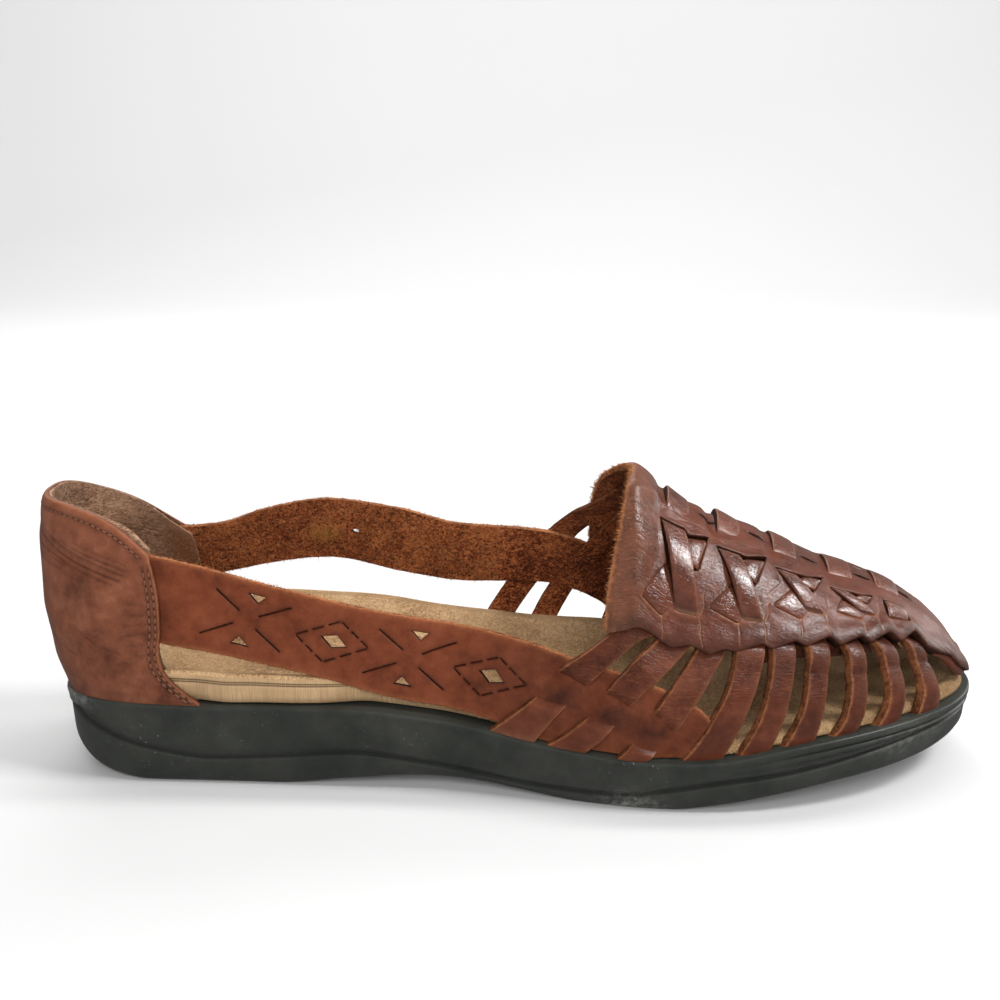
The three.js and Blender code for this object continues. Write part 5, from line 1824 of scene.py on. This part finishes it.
def make_stitches():
    """Thread of the counter, two rows beside each front edge and one below the collar, with its holes."""
    threads = Shape()
    holes = Shape()
    shares = np.linspace(0, 1, 6)
    radii = 0.28 * np.clip(1 - (2 * shares - 1) ** 2, 0.06, 1) ** 0.35
    lifts = 0.14 * np.sin(np.pi * shares) - 0.02
    hole_shares = np.array([-0.3, -0.15, 0.15, 0.3])
    hole_radii = np.array([0.1, 0.26, 0.26, 0.1])
    for line in counter_seams:
        for start in np.arange(STITCH_FIRST, run_of(line)[-1] - STITCH_PITCH, STITCH_PITCH):
            begin, end, hole = at_runs(line, start + np.array([0, STITCH_LENGTH, HOLE_AT]))
            length = np.linalg.norm(end - begin)
            aim = (end - begin) / length
            bead(threads, begin, aim, shares * length, radii, lifts)
            # A near-black bead stands for the shade in each needle hole
            bead(holes, hole, aim, hole_shares, hole_radii, np.full(4, -0.16))
    threads.build("counter_thread", [thread], "heel_counter")
    holes.build("needle_holes", [needle_hole], "heel_counter")


# Loose fibres
THROAT_FIBRES = 2200
STRAP_FIBRES = 900
VAMP_NAP = 3000


def make_fibres():
    """Loose fibres at the throat and along the edges of the straps."""
    shape = Shape()
    chance = np.random.default_rng(5)
    angle = chance.uniform(*THROAT_ENDS, THROAT_FIBRES)
    x = smooth(THROAT, "angle", "x", angle) + chance.uniform(0.0, 1.0, THROAT_FIBRES)
    roots = lifted(x, angle, chance.uniform(-1.6, 0.0, THROAT_FIBRES))
    out = lifted(x - 1, angle, 0.3) - lifted(x, angle, 0)
    fibres(shape, roots, out, chance.uniform(0.25, 1.15, THROAT_FIBRES), width=0.12, seed=6)
    for rows, medial, seed in ((LATERAL_STRAP, False, 8), (MEDIAL_STRAP, True, 9)):
        x = chance.uniform(26, 150, STRAP_FIBRES)
        for name, heading in (("low", -1.0), ("high", 1.0)):
            z = along(rows, name, x)
            keep = z > sole_top(x) + 2
            count = keep.sum()
            roots = lifted(x[keep], angle_at(x[keep], z[keep], medial), chance.uniform(-1.8, -0.3, count))
            aims = np.tile([0.0, 0.0, heading], (count, 1))
            fibres(shape, roots, aims, chance.uniform(0.2, 0.8, count), width=0.07, seed=seed)
    shape.build("loose_fibres", [fibre_look], "upper")


def make_nap():
    """Short fibres that lie on the flesh side of the straps and of the vamp."""
    shape = Shape()
    chance = np.random.default_rng(15)
    for rows, medial, count, end in ((MEDIAL_STRAP, True, 8500, 124), (LATERAL_STRAP, False, 3000, 150)):
        x = chance.uniform(27, end, count)
        share = chance.uniform(0.01, 0.99, count)
        z = mix(np.maximum(along(rows, "low", x), sole_top(x) + 4), along(rows, "high", x), share)
        angle = angle_at(x, z, medial)
        sunk = -1.85 - 0.5 * blend(x, 105, 150)
        roots = lifted(x, angle, sunk)
        beside = lifted(x + 1, angle, sunk) - roots
        upward = lifted(x, angle + (-1 if medial else 1), sunk) - roots
        inner = lifted(x, angle, sunk - 1) - roots
        heading = chance.uniform(0, 2 * np.pi, (count, 1))
        aims = beside * np.cos(heading) + upward * np.sin(heading) + 0.25 * inner
        fibres(shape, roots, aims, chance.uniform(0.5, 1.5, count), width=0.085, seed=16)
    angle = chance.uniform(32, 148, VAMP_NAP)
    x = smooth(THROAT, "angle", "x", angle) + chance.uniform(0.5, 24, VAMP_NAP)
    roots = lifted(x, angle, -1.75)
    aims = chance.normal(0, 1, (VAMP_NAP, 3)) + 0.5 * (lifted(x, angle, -2.75) - roots)
    fibres(shape, roots, aims, chance.uniform(0.4, 1.2, VAMP_NAP), width=0.08, seed=17)
    shape.build("suede_nap", [nap_look], "upper")


make_sole()
make_footbed()
make_vamp()
make_toe_lip()
make_weave()
make_strips()
make_strap("lateral_strap", LATERAL_STRAP, False, 41)
make_strap("medial_strap", MEDIAL_STRAP, True, 61)
make_counter()
make_lining()
make_stitches()
make_fibres()
make_nap()

# Floor that rises behind the shoe in a soft bend, in metres
FLOOR_SIDE = 4.0
FLOOR_NEAR = -3.0
BEND_FROM = 1.0
BEND_RADIUS = 0.7
FLOOR_TOP = 2.6

floor_mesh = bpy.data.meshes.new("floor")
profile = [(FLOOR_NEAR, 0.0)]
for bend in np.linspace(0, math.pi / 2, 13):
    profile.append((BEND_FROM + BEND_RADIUS * math.sin(bend), BEND_RADIUS * (1 - math.cos(bend))))
profile.append((BEND_FROM + BEND_RADIUS, FLOOR_TOP))
floor_points = [(x, y, z) for y, z in profile for x in (-FLOOR_SIDE, FLOOR_SIDE)]
floor_faces = [(2 * k, 2 * k + 1, 2 * k + 3, 2 * k + 2) for k in range(len(profile) - 1)]
floor_mesh.from_pydata(floor_points, [], floor_faces)
floor_mesh.polygons.foreach_set("use_smooth", [True] * len(floor_faces))
floor = bpy.data.objects.new("floor", floor_mesh)
bpy.context.scene.collection.objects.link(floor)
floor_look = bpy.data.materials.new("floor")
floor_look.use_nodes = True
floor_shader = floor_look.node_tree.nodes["Principled BSDF"]
floor_shader.inputs["Base Color"].default_value = (0.6, 0.6, 0.6, 1.0)
floor_shader.inputs["Roughness"].default_value = 0.9
floor_mesh.materials.append(floor_look)
floor.visible_glossy = False

# Light
world = bpy.data.worlds.new("studio")
world.use_nodes = True
world.node_tree.nodes["Background"].inputs["Color"].default_value = (1.0, 1.0, 1.0, 1.0)
world.node_tree.nodes["Background"].inputs["Strength"].default_value = 0.22
bpy.context.scene.world = world
bpy.context.scene.view_settings.view_transform = "Standard"


def soft_light(name, at, aim, size, power, mirrored_in_gloss):
    light = bpy.data.lights.new(name, "AREA")
    light.shape = "RECTANGLE"
    light.size, light.size_y = size
    light.energy = power
    lamp = bpy.data.objects.new(name, light)
    bpy.context.scene.collection.objects.link(lamp)
    lamp.location = at
    lamp.visible_camera = False
    lamp.visible_glossy = mirrored_in_gloss
    lamp.rotation_euler = (Vector(aim) - Vector(at)).to_track_quat("-Z", "Y").to_euler()


soft_light("key", (0.62, -0.12, 0.76), (0.07, 0, 0.04), (0.25, 0.25), 7.0, True)
soft_light("front", (0.05, -1.2, 0.75), (0.0, 0, 0.04), (1.0, 0.7), 15.0, False)
soft_light("back", (-0.3, 0.8, 0.75), (0.0, 0, 0.03), (0.8, 0.4), 4.0, True)
soft_light("side", (0.82, 0.5, 0.24), (0.1, 0, 0.04), (0.35, 0.35), 2.2, True)
soft_light("backdrop", (0.0, 0.5, 1.7), (0.0, 1.6, 0.5), (2.4, 0.4), 38.0, False)

# Camera
CAMERA_AT = np.array([152.0, -377.0, 180.0])
CAMERA_YAW = math.radians(3.8)
CAMERA_PITCH = math.radians(15.4)
CAMERA_ROLL = math.radians(-0.5)
FOCAL_SHARE = 1.376
SENSOR = 36.0

level = Vector((math.cos(CAMERA_YAW), math.sin(CAMERA_YAW), 0))
ahead = Vector((-math.sin(CAMERA_YAW), math.cos(CAMERA_YAW), 0))
forward = math.cos(CAMERA_PITCH) * ahead - Vector((0, 0, math.sin(CAMERA_PITCH)))
upright = level.cross(forward)
right = math.cos(CAMERA_ROLL) * level + math.sin(CAMERA_ROLL) * upright
up = math.cos(CAMERA_ROLL) * upright - math.sin(CAMERA_ROLL) * level
camera_data = bpy.data.cameras.new("camera")
camera_data.sensor_width = SENSOR
camera_data.lens = FOCAL_SHARE * SENSOR
camera_data.clip_start = 0.01
camera = bpy.data.objects.new("camera", camera_data)
bpy.context.scene.collection.objects.link(camera)
turn_to = Matrix((right, up, -forward)).transposed()
camera.matrix_world = Matrix.Translation(Vector(CAMERA_AT * MM + SHIFT)) @ turn_to.to_4x4()
bpy.context.scene.camera = camera
